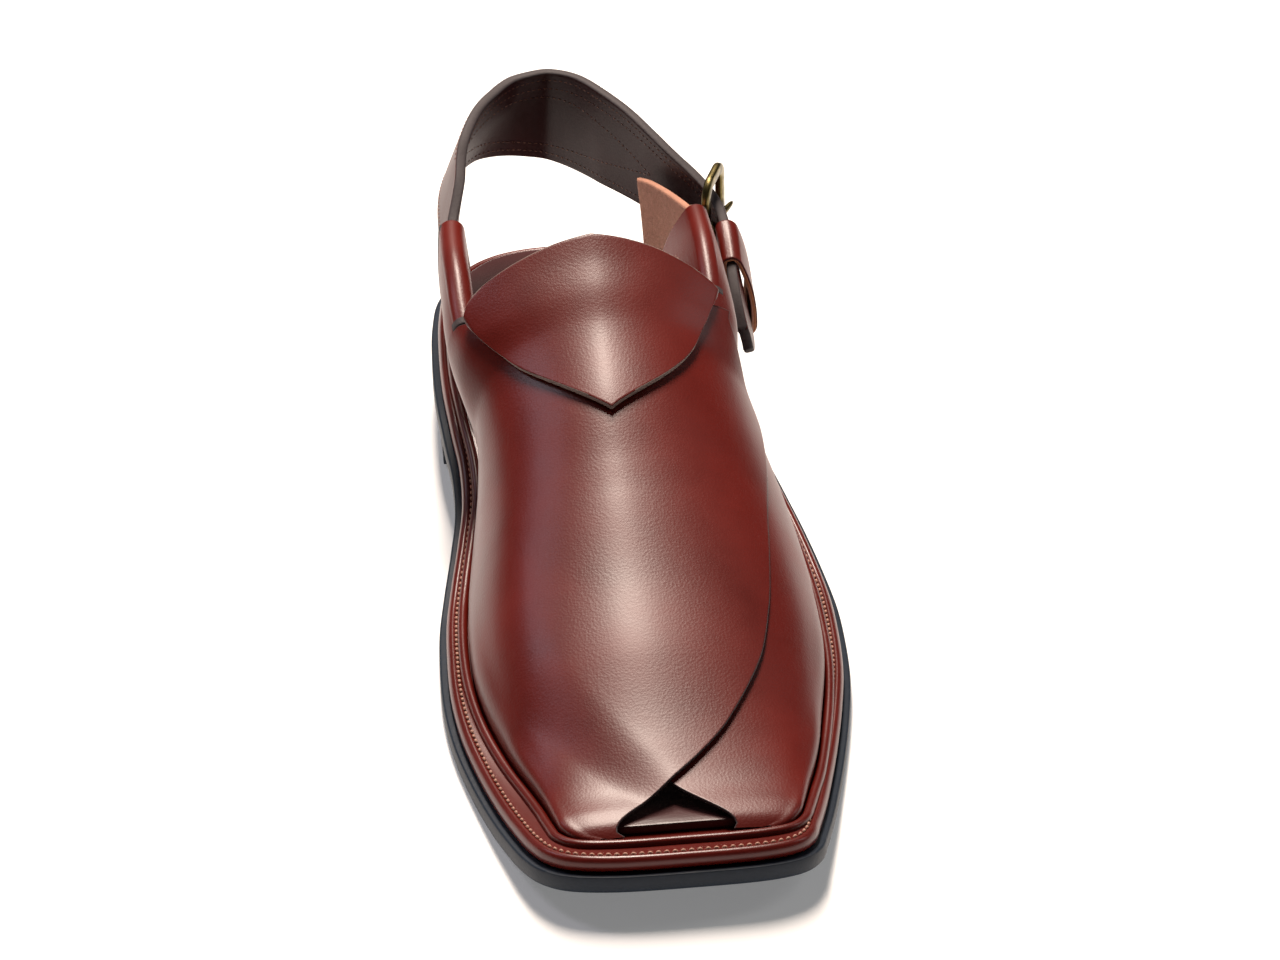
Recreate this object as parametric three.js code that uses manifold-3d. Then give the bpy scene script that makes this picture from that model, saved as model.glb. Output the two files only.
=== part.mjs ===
// Left shoe of a pair of peshawari chappals: an open leather sandal with two crossing
// panels over the foot, a pointed tongue, a heel strap with a brass buckle, and a
// leather-wrapped welt on a rubber outsole with a heel.
// Millimetres. The toe points to -Y, the outer (lateral) side to +X and +Z is up.
// The origin is on the floor under the middle of the heel's tread.
import * as THREE from "three";
import { mergeVertices } from "three/addons/utils/BufferGeometryUtils.js";
import Module from "manifold-3d";

// Driving sizes of the sole
const soleLength = 290;
const ballWidth = 110;
const heelLift = 18;
const toeSpring = 9;
const heelCentre = 35;
const heelBreast = 78;
const archEnd = 165;
const springStart = 225;
const outsoleThickness = 5.3;
const weltThickness = 4.4;
const ridgeHeight = 1.6;
const insoleThickness = 2.5;

// Driving sizes of the upper
const leather = 2;
const instepRise = 59;
const sideWall = 4;
const loopTurn = 45;
const loopTurnRear = 39;
const loopTurnLateral = 50;
const loopTurnLateralRear = 43;
const loopFlap = 12;
const loopFlapLateral = 19;

// Driving sizes of the strap and its hardware
const strapThickness = 3;
const guardThickness = 2.4;
const tongueThickness = 1.8;
const barThickness = 2.8;
const frameHeight = 31;
const frameCorner = 4;
const prongThickness = 2;
const prongReach = 2.5;
const prongEye = 1.1;
const keeperThickness = 1.5;
const keeperWidth = 13;

// Clearance between pieces that touch
const gap = 0.3;
const soleGap = 0.5;
const tongueGap = 0.8;

// Outline of the outsole and of the last, a row for each station. The at columns are
// shares of soleLength from the heel end, the others shares of ballWidth from the axis.
const outlineTable = [
  { at: 0.0034, medial: 0.08, lateral: 0.131, lastAt: 0.0262, lastMedial: 0.055, lastLateral: 0.109 },
  { at: 0.0138, medial: 0.164, lateral: 0.215, lastAt: 0.0345, lastMedial: 0.132, lastLateral: 0.184 },
  { at: 0.0345, medial: 0.243, lateral: 0.294, lastAt: 0.0493, lastMedial: 0.191, lastLateral: 0.242 },
  { at: 0.069, medial: 0.305, lateral: 0.356, lastAt: 0.0759, lastMedial: 0.244, lastLateral: 0.295 },
  { at: 0.121, medial: 0.336, lateral: 0.386, lastAt: 0.124, lastMedial: 0.269, lastLateral: 0.32 },
  { at: 0.193, medial: 0.354, lateral: 0.398, lastAt: 0.193, lastMedial: 0.287, lastLateral: 0.331 },
  { at: 0.265, medial: 0.361, lateral: 0.412, lastAt: 0.265, lastMedial: 0.294, lastLateral: 0.345 },
  { at: 0.328, medial: 0.356, lateral: 0.434, lastAt: 0.328, lastMedial: 0.287, lastLateral: 0.365 },
  { at: 0.376, medial: 0.348, lateral: 0.462, lastAt: 0.376, lastMedial: 0.277, lastLateral: 0.392 },
  { at: 0.42, medial: 0.354, lateral: 0.493, lastAt: 0.42, lastMedial: 0.28, lastLateral: 0.422 },
  { at: 0.466, medial: 0.378, lateral: 0.524, lastAt: 0.466, lastMedial: 0.305, lastLateral: 0.453 },
  { at: 0.514, medial: 0.406, lateral: 0.548, lastAt: 0.514, lastMedial: 0.332, lastLateral: 0.475 },
  { at: 0.566, medial: 0.431, lateral: 0.562, lastAt: 0.566, lastMedial: 0.356, lastLateral: 0.486 },
  { at: 0.628, medial: 0.446, lateral: 0.559, lastAt: 0.628, lastMedial: 0.371, lastLateral: 0.484 },
  { at: 0.69, medial: 0.452, lateral: 0.545, lastAt: 0.69, lastMedial: 0.372, lastLateral: 0.473 },
  { at: 0.748, medial: 0.443, lateral: 0.517, lastAt: 0.748, lastMedial: 0.356, lastLateral: 0.449 },
  { at: 0.807, medial: 0.419, lateral: 0.481, lastAt: 0.803, lastMedial: 0.325, lastLateral: 0.418 },
  { at: 0.869, medial: 0.386, lateral: 0.438, lastAt: 0.859, lastMedial: 0.284, lastLateral: 0.381 },
  { at: 0.903, medial: 0.364, lateral: 0.413, lastAt: 0.891, lastMedial: 0.263, lastLateral: 0.354 },
  { at: 0.941, medial: 0.335, lateral: 0.382, lastAt: 0.921, lastMedial: 0.248, lastLateral: 0.329 },
  { at: 0.966, medial: 0.303, lateral: 0.359, lastAt: 0.938, lastMedial: 0.237, lastLateral: 0.312 },
  { at: 0.985, medial: 0.25, lateral: 0.318, lastAt: 0.951, lastMedial: 0.205, lastLateral: 0.282 },
  { at: 0.9965, medial: 0.15, lateral: 0.24, lastAt: 0.9572, lastMedial: 0.127, lastLateral: 0.218 },
];
const heelEnd = { at: 0, middle: 0.026, lastAt: 0.0245, lastMiddle: 0.027 };
const toeEnd = { at: 1, middle: 0.045, lastAt: 0.9586, lastMiddle: 0.045 };

// Sections of the last. rise is a share of instepRise, the other columns but at and
// peak are shares of ballWidth; peak is the exponent that sharpens the arch.
const lastTable = [
  { at: 0.2, rise: 1.15, crown: 0.027, peak: 1, medialSwell: 0.113, lateralSwell: 0.1 },
  { at: 0.3, rise: 1.06, crown: 0.03, peak: 1, medialSwell: 0.13, lateralSwell: 0.098 },
  { at: 0.365, rise: 0.955, crown: 0.032, peak: 1, medialSwell: 0.142, lateralSwell: 0.085 },
  { at: 0.4, rise: 0.92, crown: 0.032, peak: 1, medialSwell: 0.11, lateralSwell: 0.04 },
  { at: 0.431, rise: 0.885, crown: 0.03, peak: 1.03, medialSwell: 0.06, lateralSwell: 0.01 },
  { at: 0.517, rise: 0.83, crown: 0.028, peak: 1.1, medialSwell: 0.012, lateralSwell: 0 },
  { at: 0.603, rise: 0.672, crown: 0.03, peak: 1.05, medialSwell: 0, lateralSwell: 0 },
  { at: 0.69, rise: 0.505, crown: 0.036, peak: 1, medialSwell: 0, lateralSwell: 0 },
  { at: 0.776, rise: 0.36, crown: 0.04, peak: 1, medialSwell: 0, lateralSwell: 0 },
  { at: 0.862, rise: 0.185, crown: 0.045, peak: 0.95, medialSwell: 0, lateralSwell: 0 },
  { at: 0.903, rise: 0.105, crown: 0.045, peak: 0.9, medialSwell: 0, lateralSwell: 0 },
  { at: 0.935, rise: 0.06, crown: 0.045, peak: 0.9, medialSwell: 0, lateralSwell: 0 },
  { at: 0.947, rise: 0.036, crown: 0.045, peak: 0.9, medialSwell: 0, lateralSwell: 0 },
  { at: 0.9555, rise: 0, crown: 0.045, peak: 0.9, medialSwell: 0, lateralSwell: 0 },
];

// Free edges of the two panels: how many degrees the edge has turned over the foot,
// from the medial side (0) over the crown (90) to the lateral side (180).
const freeEdgeTable = [
  { at: 0.383, top: 133, under: 44 },
  { at: 0.4, top: 141, under: 42 },
  { at: 0.414, top: 146, under: 41 },
  { at: 0.448, top: 150, under: 40 },
  { at: 0.497, top: 145.5, under: 40 },
  { at: 0.576, top: 138, under: 42 },
  { at: 0.648, top: 134.5, under: 44 },
  { at: 0.714, top: 131.5, under: 47 },
  { at: 0.776, top: 126.5, under: 53 },
  { at: 0.841, top: 113, under: 66 },
  { at: 0.876, top: 100.5, under: 77 },
  { at: 0.907, top: 84, under: 89 },
  { at: 0.931, top: 66, under: 104 },
  { at: 0.9555, top: 44, under: 124 },
];

// Back edge of a panel's vamp: over is the share of the way from its feather edge to its
// free edge, at the place along the sole. Up to slitOver a side wall goes on behind it.
const topBackTable = [
  { over: 0, at: 0.421 },
  { over: 0.12, at: 0.366 },
  { over: 0.345, at: 0.366 },
  { over: 0.5, at: 0.415 },
  { over: 0.68, at: 0.437 },
  { over: 0.86, at: 0.42 },
  { over: 1, at: 0.386 },
];
const underBackTable = [
  { over: 0, at: 0.421 },
  { over: 0.125, at: 0.358 },
  { over: 0.375, at: 0.358 },
  { over: 0.5, at: 0.42 },
  { over: 0.65, at: 0.447 },
  { over: 0.85, at: 0.43 },
  { over: 1, at: 0.4 },
];

// Back edge of the side walls behind the vamp: how many degrees it has turned up from
// the feather edge on each side.
const wallBackTable = [
  { at: 0.216, medial: 38, lateral: 43 },
  { at: 0.234, medial: 36.5, lateral: 42 },
  { at: 0.3, medial: 30, lateral: 32 },
  { at: 0.366, medial: 16, lateral: 16 },
];

// The tongue's back and front edges, by degrees turned over the foot.
const tongueTable = [
  { turn: 51, back: 0.38, front: 0.39 },
  { turn: 54, back: 0.371, front: 0.422 },
  { turn: 60, back: 0.362, front: 0.452 },
  { turn: 74, back: 0.35, front: 0.494 },
  { turn: 88, back: 0.345, front: 0.525, corner: true },
  { turn: 105, back: 0.352, front: 0.485 },
  { turn: 117, back: 0.363, front: 0.442 },
  { turn: 123, back: 0.37, front: 0.408 },
  { turn: 126, back: 0.374, front: 0.381 },
];

// The heel strap behind the loops, from the medial loop round the heel to the tail.
// side is across (share of ballWidth), at along (share of soleLength), both at mid
// height; top and bottom are heights above the floor and lean is how far the bottom
// edge lies outside the top edge, as shares of strapHeight.
const strapHeight = 90;
const strapTable = [
  { side: -0.287, at: 0.187, top: 0.895, bottom: 0.66, lean: 0.05 },
  { side: -0.277, at: 0.146, top: 0.955, bottom: 0.69, lean: 0.07 },
  { side: -0.258, at: 0.11, top: 0.98, bottom: 0.715, lean: 0.09 },
  { side: -0.224, at: 0.076, top: 0.993, bottom: 0.722, lean: 0.1 },
  { side: -0.17, at: 0.048, top: 0.998, bottom: 0.722, lean: 0.09 },
  { side: -0.094, at: 0.027, top: 1, bottom: 0.7, lean: 0.04 },
  { side: 0.004, at: 0.0205, top: 1, bottom: 0.675, lean: 0 },
  { side: 0.08, at: 0.038, top: 0.998, bottom: 0.665, lean: -0.02 },
  { side: 0.137, at: 0.063, top: 0.987, bottom: 0.658, lean: -0.02 },
  { side: 0.2, at: 0.092, top: 0.967, bottom: 0.65, lean: -0.01 },
  { side: 0.255, at: 0.12, top: 0.94, bottom: 0.64, lean: 0 },
  { side: 0.31, at: 0.146, top: 0.905, bottom: 0.63, lean: 0.01 },
  { side: 0.362, at: 0.17, top: 0.865, bottom: 0.61, lean: 0.015 },
  { side: 0.402, at: 0.197, top: 0.825, bottom: 0.575, lean: 0.02 },
  { side: 0.416, at: 0.224, top: 0.785, bottom: 0.555, lean: 0.025 },
  { side: 0.42, at: 0.26, top: 0.745, bottom: 0.54, lean: 0.035 },
  { side: 0.421, at: 0.3, top: 0.695, bottom: 0.505, lean: 0.045 },
];

// The buckle's two upright bars: the hinge bar stands inside the strap at the end of the
// lateral loop, the far bar outside it. Shares as in the strap's table, and middle is the
// height of a bar's middle.
const hingeBar = { side: 0.3655, at: 0.207, middle: 0.713 };
const farBar = { side: 0.418, at: 0.162, middle: 0.722 };

// Where the keeper starts on the strap's tail, as a share of soleLength
const keeperFrom = 0.235;

// The tab that guards the foot under the buckle, from the loop's mouth to its rear end.
const guardTable = [
  { side: 0.318, at: 0.222, top: 0.815, bottom: 0.575, lean: 0.03 },
  { side: 0.288, at: 0.196, top: 0.81, bottom: 0.55, lean: 0.02 },
  { side: 0.245, at: 0.17, top: 0.805, bottom: 0.535, lean: 0 },
  { side: 0.195, at: 0.147, top: 0.8, bottom: 0.535, lean: 0 },
  { side: 0.165, at: 0.134, top: 0.79, bottom: 0.56, lean: 0 },
];

const wasm = await Module();
wasm.setup();

// Interpolation between the rows of a table
function smooth(t) {
  const c = Math.min(1, Math.max(0, t));
  return c * c * (3 - 2 * c);
}

function mix(a, b, t) {
  return a + (b - a) * t;
}

function slopeAt(rows, key, column, i, onward) {
  const corner = rows[i].corner;
  const before = rows[corner && onward ? i : Math.max(0, i - 1)];
  const after = rows[corner && !onward ? i : Math.min(rows.length - 1, i + 1)];
  return (after[column] - before[column]) / (after[key] - before[key]);
}

// Reads a column at a place between the rows, on a smooth curve through them that only
// turns sharply at a row marked as a corner
function read(rows, key, column, place) {
  let i = 0;
  while (i < rows.length - 2 && rows[i + 1][key] < place) i += 1;
  const a = rows[i];
  const b = rows[i + 1];
  const span = b[key] - a[key];
  const t = Math.min(1, Math.max(0, (place - a[key]) / span));
  const rise = b[column] - a[column];
  const limit = (slope) => {
    if (slope * rise <= 0) return 0;
    return Math.sign(rise) * Math.min(Math.abs(slope * span), 3 * Math.abs(rise));
  };
  const m0 = limit(slopeAt(rows, key, column, i, true));
  const m1 = limit(slopeAt(rows, key, column, i + 1, false));
  const t2 = t * t;
  const t3 = t2 * t;
  return a[column] * (2 * t3 - 3 * t2 + 1) + m0 * (t3 - 2 * t2 + t)
    + b[column] * (3 * t2 - 2 * t3) + m1 * (t3 - t2);
}

// Height of the outsole's underside above the floor: heel, arch, flat forefoot, toe spring
function lift(along) {
  const arch = heelLift * (1 - smooth((along - heelBreast) / (archEnd - heelBreast)));
  const spring = Math.max(0, (along - springStart) / (soleLength - springStart));
  return arch + toeSpring * spring * spring;
}

const weltBottom = outsoleThickness + soleGap;
const weltFloor = weltBottom + weltThickness - 0.3;
const seat = weltFloor + soleGap;

// A point from its distance along the sole, its side and its height
function place(along, side, height) {
  return new THREE.Vector3(side, heelCentre - along, height);
}

// Solids from grids of points
function solidFrom(points, faces, flip = false) {
  const geometry = new THREE.BufferGeometry();
  const positions = points.flatMap((p) => [p.x, p.y, p.z]);
  geometry.setAttribute("position", new THREE.Float32BufferAttribute(positions, 3));
  geometry.setIndex(flip ? faces.flatMap(([a, b, c]) => [a, c, b]) : faces.flat());
  return geometry;
}

function volumeOf(points, faces) {
  return faces.reduce((sum, [a, b, c]) => {
    const cross = new THREE.Vector3().crossVectors(points[b], points[c]);
    return sum + points[a].dot(cross) / 6;
  }, 0);
}

// Joins closed loops of equal length into a skin. Each end is closed by strips between
// the loop's point i and its mirror, which suits walls, plates and bands alike. A skin
// that closes on itself has no ends.
function loft(loops, closed = false) {
  const count = loops[0].length;
  const points = loops.flat();
  const faces = [];
  const quad = (a, b, c, d) => faces.push([a, b, c], [a, c, d]);
  const spans = closed ? loops.length : loops.length - 1;
  for (let k = 0; k < spans; k += 1) {
    const next = (k + 1) % loops.length;
    for (let i = 0; i < count; i += 1) {
      const j = (i + 1) % count;
      quad(k * count + i, k * count + j, next * count + j, next * count + i);
    }
  }
  if (!closed) {
    const last = (loops.length - 1) * count;
    for (let i = 0; i < count / 2 - 1; i += 1) {
      quad(count - 1 - i, count - 2 - i, i + 1, i);
      quad(last + i, last + i + 1, last + count - 2 - i, last + count - 1 - i);
    }
  }
  return solidFrom(points, faces, volumeOf(points, faces) < 0);
}

// Booleans
function toSolid(geometry) {
  const bare = geometry.clone();
  bare.deleteAttribute("normal");
  bare.deleteAttribute("uv");
  const merged = mergeVertices(bare, 1e-5);
  return new wasm.Manifold(new wasm.Mesh({
    numProp: 3,
    vertProperties: Float32Array.from(merged.attributes.position.array),
    triVerts: Uint32Array.from(merged.index.array),
  }));
}

function toGeometry(solid) {
  const mesh = solid.getMesh();
  const geometry = new THREE.BufferGeometry();
  geometry.setAttribute("position", new THREE.BufferAttribute(mesh.vertProperties, 3));
  geometry.setIndex(new THREE.BufferAttribute(mesh.triVerts, 1));
  return geometry;
}

// Joins solids into one, and fills the tiny pockets between their facets
function join(geometries) {
  const sum = geometries.map(toSolid).reduce((whole, next) => whole.add(next));
  const skins = sum.decompose();
  const largest = skins.reduce((best, skin) => (skin.volume() > best.volume() ? skin : best));
  return toGeometry(largest);
}

// The sole's two outlines in plan, as rings of paired points: the medial side from the
// heel end to the toe, then the lateral side back again.
const ringSteps = 2;

function planRing(atColumn, medialColumn, lateralColumn, middleColumn) {
  const control = (row, column, sign) => new THREE.Vector3(
    sign * row[column] * ballWidth,
    row[atColumn] * soleLength,
    0,
  );
  const side = outlineTable.map((row) => control(row, medialColumn, -1));
  const back = [...outlineTable].reverse().map((row) => control(row, lateralColumn, 1));
  const controls = [
    control(heelEnd, middleColumn, 1),
    ...side,
    control(toeEnd, middleColumn, 1),
    ...back,
  ];
  const curve = new THREE.CatmullRomCurve3(controls, true, "centripetal");
  const count = controls.length * ringSteps;
  return Array.from({ length: count }, (_, i) => curve.getPoint(i / count));
}

const outsoleRing = planRing("at", "medial", "lateral", "middle");
const lastRing = planRing("lastAt", "lastMedial", "lastLateral", "lastMiddle");

// Moves a plan ring inwards (or outwards where the inset is negative) along its normals
function insetRing(ring, inset) {
  const amount = typeof inset === "function" ? inset : () => inset;
  return ring.map((point, i) => {
    const before = ring[(i + ring.length - 1) % ring.length];
    const after = ring[(i + 1) % ring.length];
    const along = new THREE.Vector3().subVectors(after, before).normalize();
    const inward = new THREE.Vector3(along.y, -along.x, 0);
    return point.clone().addScaledVector(inward, amount(point.y));
  });
}

// A plan ring at a height above the outsole's underside, starting at the heel end and
// arranged so that each point's mirror in the list is its partner on the other side
function ringAt(ring, inset, height) {
  const flat = insetRing(ring, inset);
  return flat.map((p) => place(p.y, p.x, lift(p.y) + height));
}

function outsole() {
  const bottomBevel = 1.1;
  const topBevel = 0.6;
  const loops = [
    ringAt(outsoleRing, bottomBevel, 0),
    ringAt(outsoleRing, 0, bottomBevel),
    ringAt(outsoleRing, 0, outsoleThickness - topBevel),
    ringAt(outsoleRing, topBevel, outsoleThickness),
  ];
  return loft(loops);
}

// The part of a plan ring behind the heel breast, closed by a straight breast line
function heelLoop(inset, breast, height) {
  const flat = insetRing(outsoleRing, inset);
  const half = flat.length / 2;
  const medial = flat.slice(0, half);
  const lateral = [flat[0], ...flat.slice(half + 1).reverse()];
  const cut = (side) => {
    const kept = side.filter((p) => p.y < breast - 1);
    const before = kept[kept.length - 1];
    const after = side[kept.length];
    const t = (breast - before.y) / (after.y - before.y);
    return [...kept, before.clone().lerp(after, t)];
  };
  const up = cut(medial);
  const down = cut(lateral).slice(1).reverse();
  const top = up[up.length - 1].clone().lerp(down[0], 0.5);
  return [...up, top, ...down].map((p) => place(p.y, p.x, height));
}

function heel() {
  const treadInset = 2.2;
  const treadBevel = 1;
  const topInset = 1.2;
  const breastRake = 3;
  const topHeight = heelLift - gap;
  return loft([
    heelLoop(treadInset, heelBreast - breastRake - 1, 0),
    heelLoop(treadInset - treadBevel / 2, heelBreast - breastRake, treadBevel),
    heelLoop(topInset, heelBreast, topHeight),
  ]);
}

// The welt's profile from its outer edge to its flat middle: a rounded wrapped edge, the
// stitched groove and the raised ridge that the upper tucks behind. Rows of it are
// insets from the outsole's outline, or outsets from the last's.
function welt() {
  const edge = 2;
  const groove = 4.9;
  const ridgeFoot = 2.6;
  const top = weltBottom + weltThickness;
  const loops = [
    ringAt(outsoleRing, edge, weltBottom),
    ringAt(outsoleRing, edge - 0.2, weltBottom + 0.35 * weltThickness),
    ringAt(outsoleRing, edge + 0.2, weltBottom + 0.78 * weltThickness),
    ringAt(outsoleRing, edge + 1, top - 0.15),
    ringAt(outsoleRing, edge + 1.8, top),
    ringAt(outsoleRing, groove, weltFloor),
    ringAt(lastRing, -ridgeFoot, weltFloor),
    ringAt(lastRing, -ridgeFoot + 0.5, top + 0.7 * ridgeHeight),
    ringAt(lastRing, -ridgeFoot / 2, top + ridgeHeight),
    ringAt(lastRing, -gap - 0.3, top + 0.7 * ridgeHeight),
    ringAt(lastRing, -gap, weltFloor),
  ];
  return loft(loops);
}

function insole() {
  const heelInset = gap;
  const foreInset = leather + gap + 0.3;
  const inset = (along) => mix(heelInset, foreInset, smooth((along - 92) / 16))
    + 1.6 * smooth((along - 250) / 20);
  const edgeRound = 0.7;
  return loft([
    ringAt(lastRing, inset, seat),
    ringAt(lastRing, inset, seat + insoleThickness - edgeRound),
    ringAt(lastRing, (along) => inset(along) + edgeRound, seat + insoleThickness),
  ]);
}

// Half widths of the last's outline at a distance along the sole
function lastEdge(along, medial) {
  const half = lastRing.length / 2;
  const side = medial
    ? lastRing.slice(0, half + 1)
    : [lastRing[0], ...lastRing.slice(half).reverse()];
  let i = 0;
  while (i < side.length - 2 && side[i + 1].y < along) i += 1;
  const t = (along - side[i].y) / (side[i + 1].y - side[i].y);
  return mix(side[i].x, side[i + 1].x, Math.min(1, Math.max(0, t)));
}

// The last's surface. turn goes over the foot in degrees from the medial feather edge
// (0) to the lateral one (180). Each side is a quarter ellipse that swells where the
// side walls stand, on a short upright wall. out is the distance outside the last.
function onLast(along, turn, out) {
  const at = along / soleLength;
  const column = (name) => read(lastTable, "at", name, at);
  const angle = (turn * Math.PI) / 180;
  const medial = turn <= 90;
  const sign = medial ? -1 : 1;
  const crown = column("crown") * ballWidth;
  const edge = lastEdge(along, medial) - sign * leather;
  const swell = column(medial ? "medialSwell" : "lateralSwell") * ballWidth;
  const low = Math.abs(Math.cos(angle)) > Math.SQRT1_2;
  const narrow = !medial && low ? 5 : 2;
  const across = Math.abs(edge - crown) + out;
  const sine = Math.max(0, Math.sin(angle));
  const side = crown + sign * (across * Math.abs(Math.cos(angle))
    + swell * Math.abs(Math.sin(2 * angle)) ** narrow);
  const rise = column("rise") * instepRise;
  const wall = Math.min(sideWall, rise);
  const height = lift(along) + seat + wall * sine ** 0.2
    + (rise - wall + out) * sine ** column("peak");
  return place(along, side, height);
}

// A panel as a wall between two distances outside the last. Its rows run from the toe
// to the back edge, and its columns from the feather edge to the free edge. The last row
// of the columns that a side wall goes on from lies inside that wall, thinner.
const panelRows = 20;
const wallColumns = 6;
const vampColumns = 11;

function panel({ edge, back, lateral, inner, outer }) {
  const toe = lastTable[lastTable.length - 1].at;
  const free = freeEdgeTable[0][edge];
  const slitOver = lateral ? loopTurnLateral / (180 - free) : loopTurn / free;
  const overs = [];
  for (let j = 0; j <= wallColumns; j += 1) overs.push((slitOver * j) / wallColumns);
  for (let j = 0; j <= vampColumns; j += 1) overs.push(mix(slitOver + 0.006, 1, j / vampColumns));
  const row = (u, behind) => {
    const points = overs.map((over) => {
      const at = mix(toe, read(back, "over", "at", over), u) - (over > slitOver ? 0 : behind);
      const turned = read(freeEdgeTable, "at", edge, at);
      const turn = lateral ? mix(180, turned, over) : over * turned;
      const inset = behind > 0 && over <= slitOver ? 0.2 * leather : 0;
      return { along: at * soleLength, turn, inset };
    });
    return [
      ...points.map((p) => onLast(p.along, p.turn, outer(p) - p.inset)),
      ...points.map((p) => onLast(p.along, p.turn, inner(p) + p.inset)).reverse(),
    ];
  };
  const loops = [];
  for (let i = 0; i < panelRows; i += 1) loops.push(row((i / panelRows) ** 1.2, 0));
  loops.push(row(1, 0), row(1.0015, 0.007));
  return loft(loops);
}

// The top panel rides over the free edge of the one under it
function overUnder(p) {
  const at = p.along / soleLength;
  const under = read(freeEdgeTable, "at", "under", at);
  const behind = smooth((at - 0.366) / 0.034);
  const side = mix(behind, 1, smooth((p.turn - 60) / 40));
  return side * smooth((p.turn - under + 30) / 38);
}

function topPanel() {
  return panel({
    edge: "top",
    back: topBackTable,
    lateral: false,
    inner: (p) => (leather / 2) * overUnder(p),
    outer: (p) => leather + leather * overUnder(p),
  });
}

function underPanel() {
  return panel({
    edge: "under",
    back: underBackTable,
    lateral: true,
    inner: () => 0,
    outer: () => leather,
  });
}

// A loop's fold: the wall's top turns over on an arc that fits what it holds. The arc
// starts on the wall's inner face, in the wall's own direction, round this centre.
function foldAt(along, { medial, held, from, to, front, rear }) {
  const high = mix(front, rear, (to - along / soleLength) / (to - from));
  const turn = medial ? high : 180 - high;
  const step = medial ? 3 : -3;
  const foot = onLast(along, turn, 0);
  const below = onLast(along, turn - step, 0);
  const rising = new THREE.Vector3(foot.x - below.x, 0, foot.z - below.z).normalize();
  const inward = new THREE.Vector3(rising.z, 0, -rising.x).multiplyScalar(medial ? 1 : -1);
  const centre = foot.addScaledVector(inward, held / 2 + gap);
  return { centre, rising, inward, high };
}

// A side wall behind the vamp with its loop: the wall's top folds inwards over what it
// holds, down to its inner flap. flap is the flap's length along the loop and flare the
// slope at which it hangs inwards.
function sideWithLoop(shape) {
  const rows = 11;
  const turns = 7;
  const { medial, from, to, held, flap, flare } = shape;
  const radius = held / 2 + gap;
  const loops = [];
  for (let i = 0; i <= rows; i += 1) {
    const t = i / rows;
    const at = mix(to, from, t);
    const along = at * soleLength;
    const low = read(wallBackTable, "at", medial ? "medial" : "lateral", at);
    const { centre, rising, inward, high } = foldAt(along, shape);
    const hang = new THREE.Vector3((medial ? 1 : -1) * flare, 0, -1).normalize();
    const sweep = Math.acos(rising.dot(hang));
    const skin = (r, out) => {
      const side = [];
      for (let k = 0; k < wallColumns; k += 1) {
        const share = k / wallColumns;
        const turn = Math.max(high * share, mix(low, high, 0.2 * share));
        side.push(onLast(along, medial ? turn : 180 - turn, out));
      }
      for (let k = 0; k <= turns; k += 1) {
        const a = (sweep * k) / turns;
        side.push(centre.clone()
          .addScaledVector(inward, -r * Math.cos(a))
          .addScaledVector(rising, r * Math.sin(a)));
      }
      side.push(side[side.length - 1].clone().addScaledVector(hang, flap(t)));
      return side;
    };
    loops.push([...skin(radius + leather, leather), ...skin(radius, 0).reverse()]);
  }
  return loft(loops);
}

const medialLoop = {
  medial: true,
  from: 0.217,
  to: 0.366,
  front: loopTurn,
  rear: loopTurnRear,
  held: strapThickness,
  flap: () => loopFlap,
  flare: 0.12,
};
const lateralLoop = {
  medial: false,
  from: 0.232,
  to: 0.358,
  front: loopTurnLateral,
  rear: loopTurnLateralRear,
  held: guardThickness,
  flap: (t) => loopFlapLateral * (0.25 + 0.75 * Math.max(0, Math.sin(Math.PI * t)) ** 0.5),
  flare: 0.4,
};

function upper() {
  return join([underPanel(), topPanel(), sideWithLoop(medialLoop), sideWithLoop(lateralLoop)]);
}

function instepTongue() {
  const rows = 10;
  const columns = 26;
  const first = tongueTable[0].turn;
  const last = tongueTable[tongueTable.length - 1].turn;
  const loops = [];
  for (let i = 0; i <= columns; i += 1) {
    const turn = mix(first, last, i / columns);
    const back = read(tongueTable, "turn", "back", turn) * soleLength;
    const front = read(tongueTable, "turn", "front", turn) * soleLength;
    const under = 2 * leather + tongueGap;
    const line = (out) => Array.from({ length: rows + 1 }, (_, k) => (
      onLast(mix(back, front, k / rows), turn, out)));
    loops.push([...line(under + tongueThickness), ...line(under).reverse()]);
  }
  return loft(loops);
}

function middleOf(row) {
  return new THREE.Vector3().addVectors(row.top, row.bottom).multiplyScalar(0.5);
}

// A flat band through rows of top and bottom points, with its corners rounded
function band(rows, thickness) {
  const round = 0.6;
  const loops = rows.map((row, i) => {
    const before = rows[Math.max(0, i - 1)];
    const after = rows[Math.min(rows.length - 1, i + 1)];
    const along = new THREE.Vector3().subVectors(middleOf(after), middleOf(before)).normalize();
    const down = new THREE.Vector3().subVectors(row.bottom, row.top);
    const length = down.length();
    down.normalize();
    const out = new THREE.Vector3().crossVectors(along, down).normalize();
    const corner = (side, depth) => row.top.clone()
      .addScaledVector(out, side * thickness)
      .addScaledVector(down, depth);
    return [
      corner(0.5, round), corner(0.5, length / 2), corner(0.5, length - round),
      corner(0.5 - round / thickness, length), corner(round / thickness - 0.5, length),
      corner(-0.5, length - round), corner(-0.5, length / 2), corner(-0.5, round),
      corner(round / thickness - 0.5, 0), corner(0.5 - round / thickness, 0),
    ];
  });
  return loft(loops);
}

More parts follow.
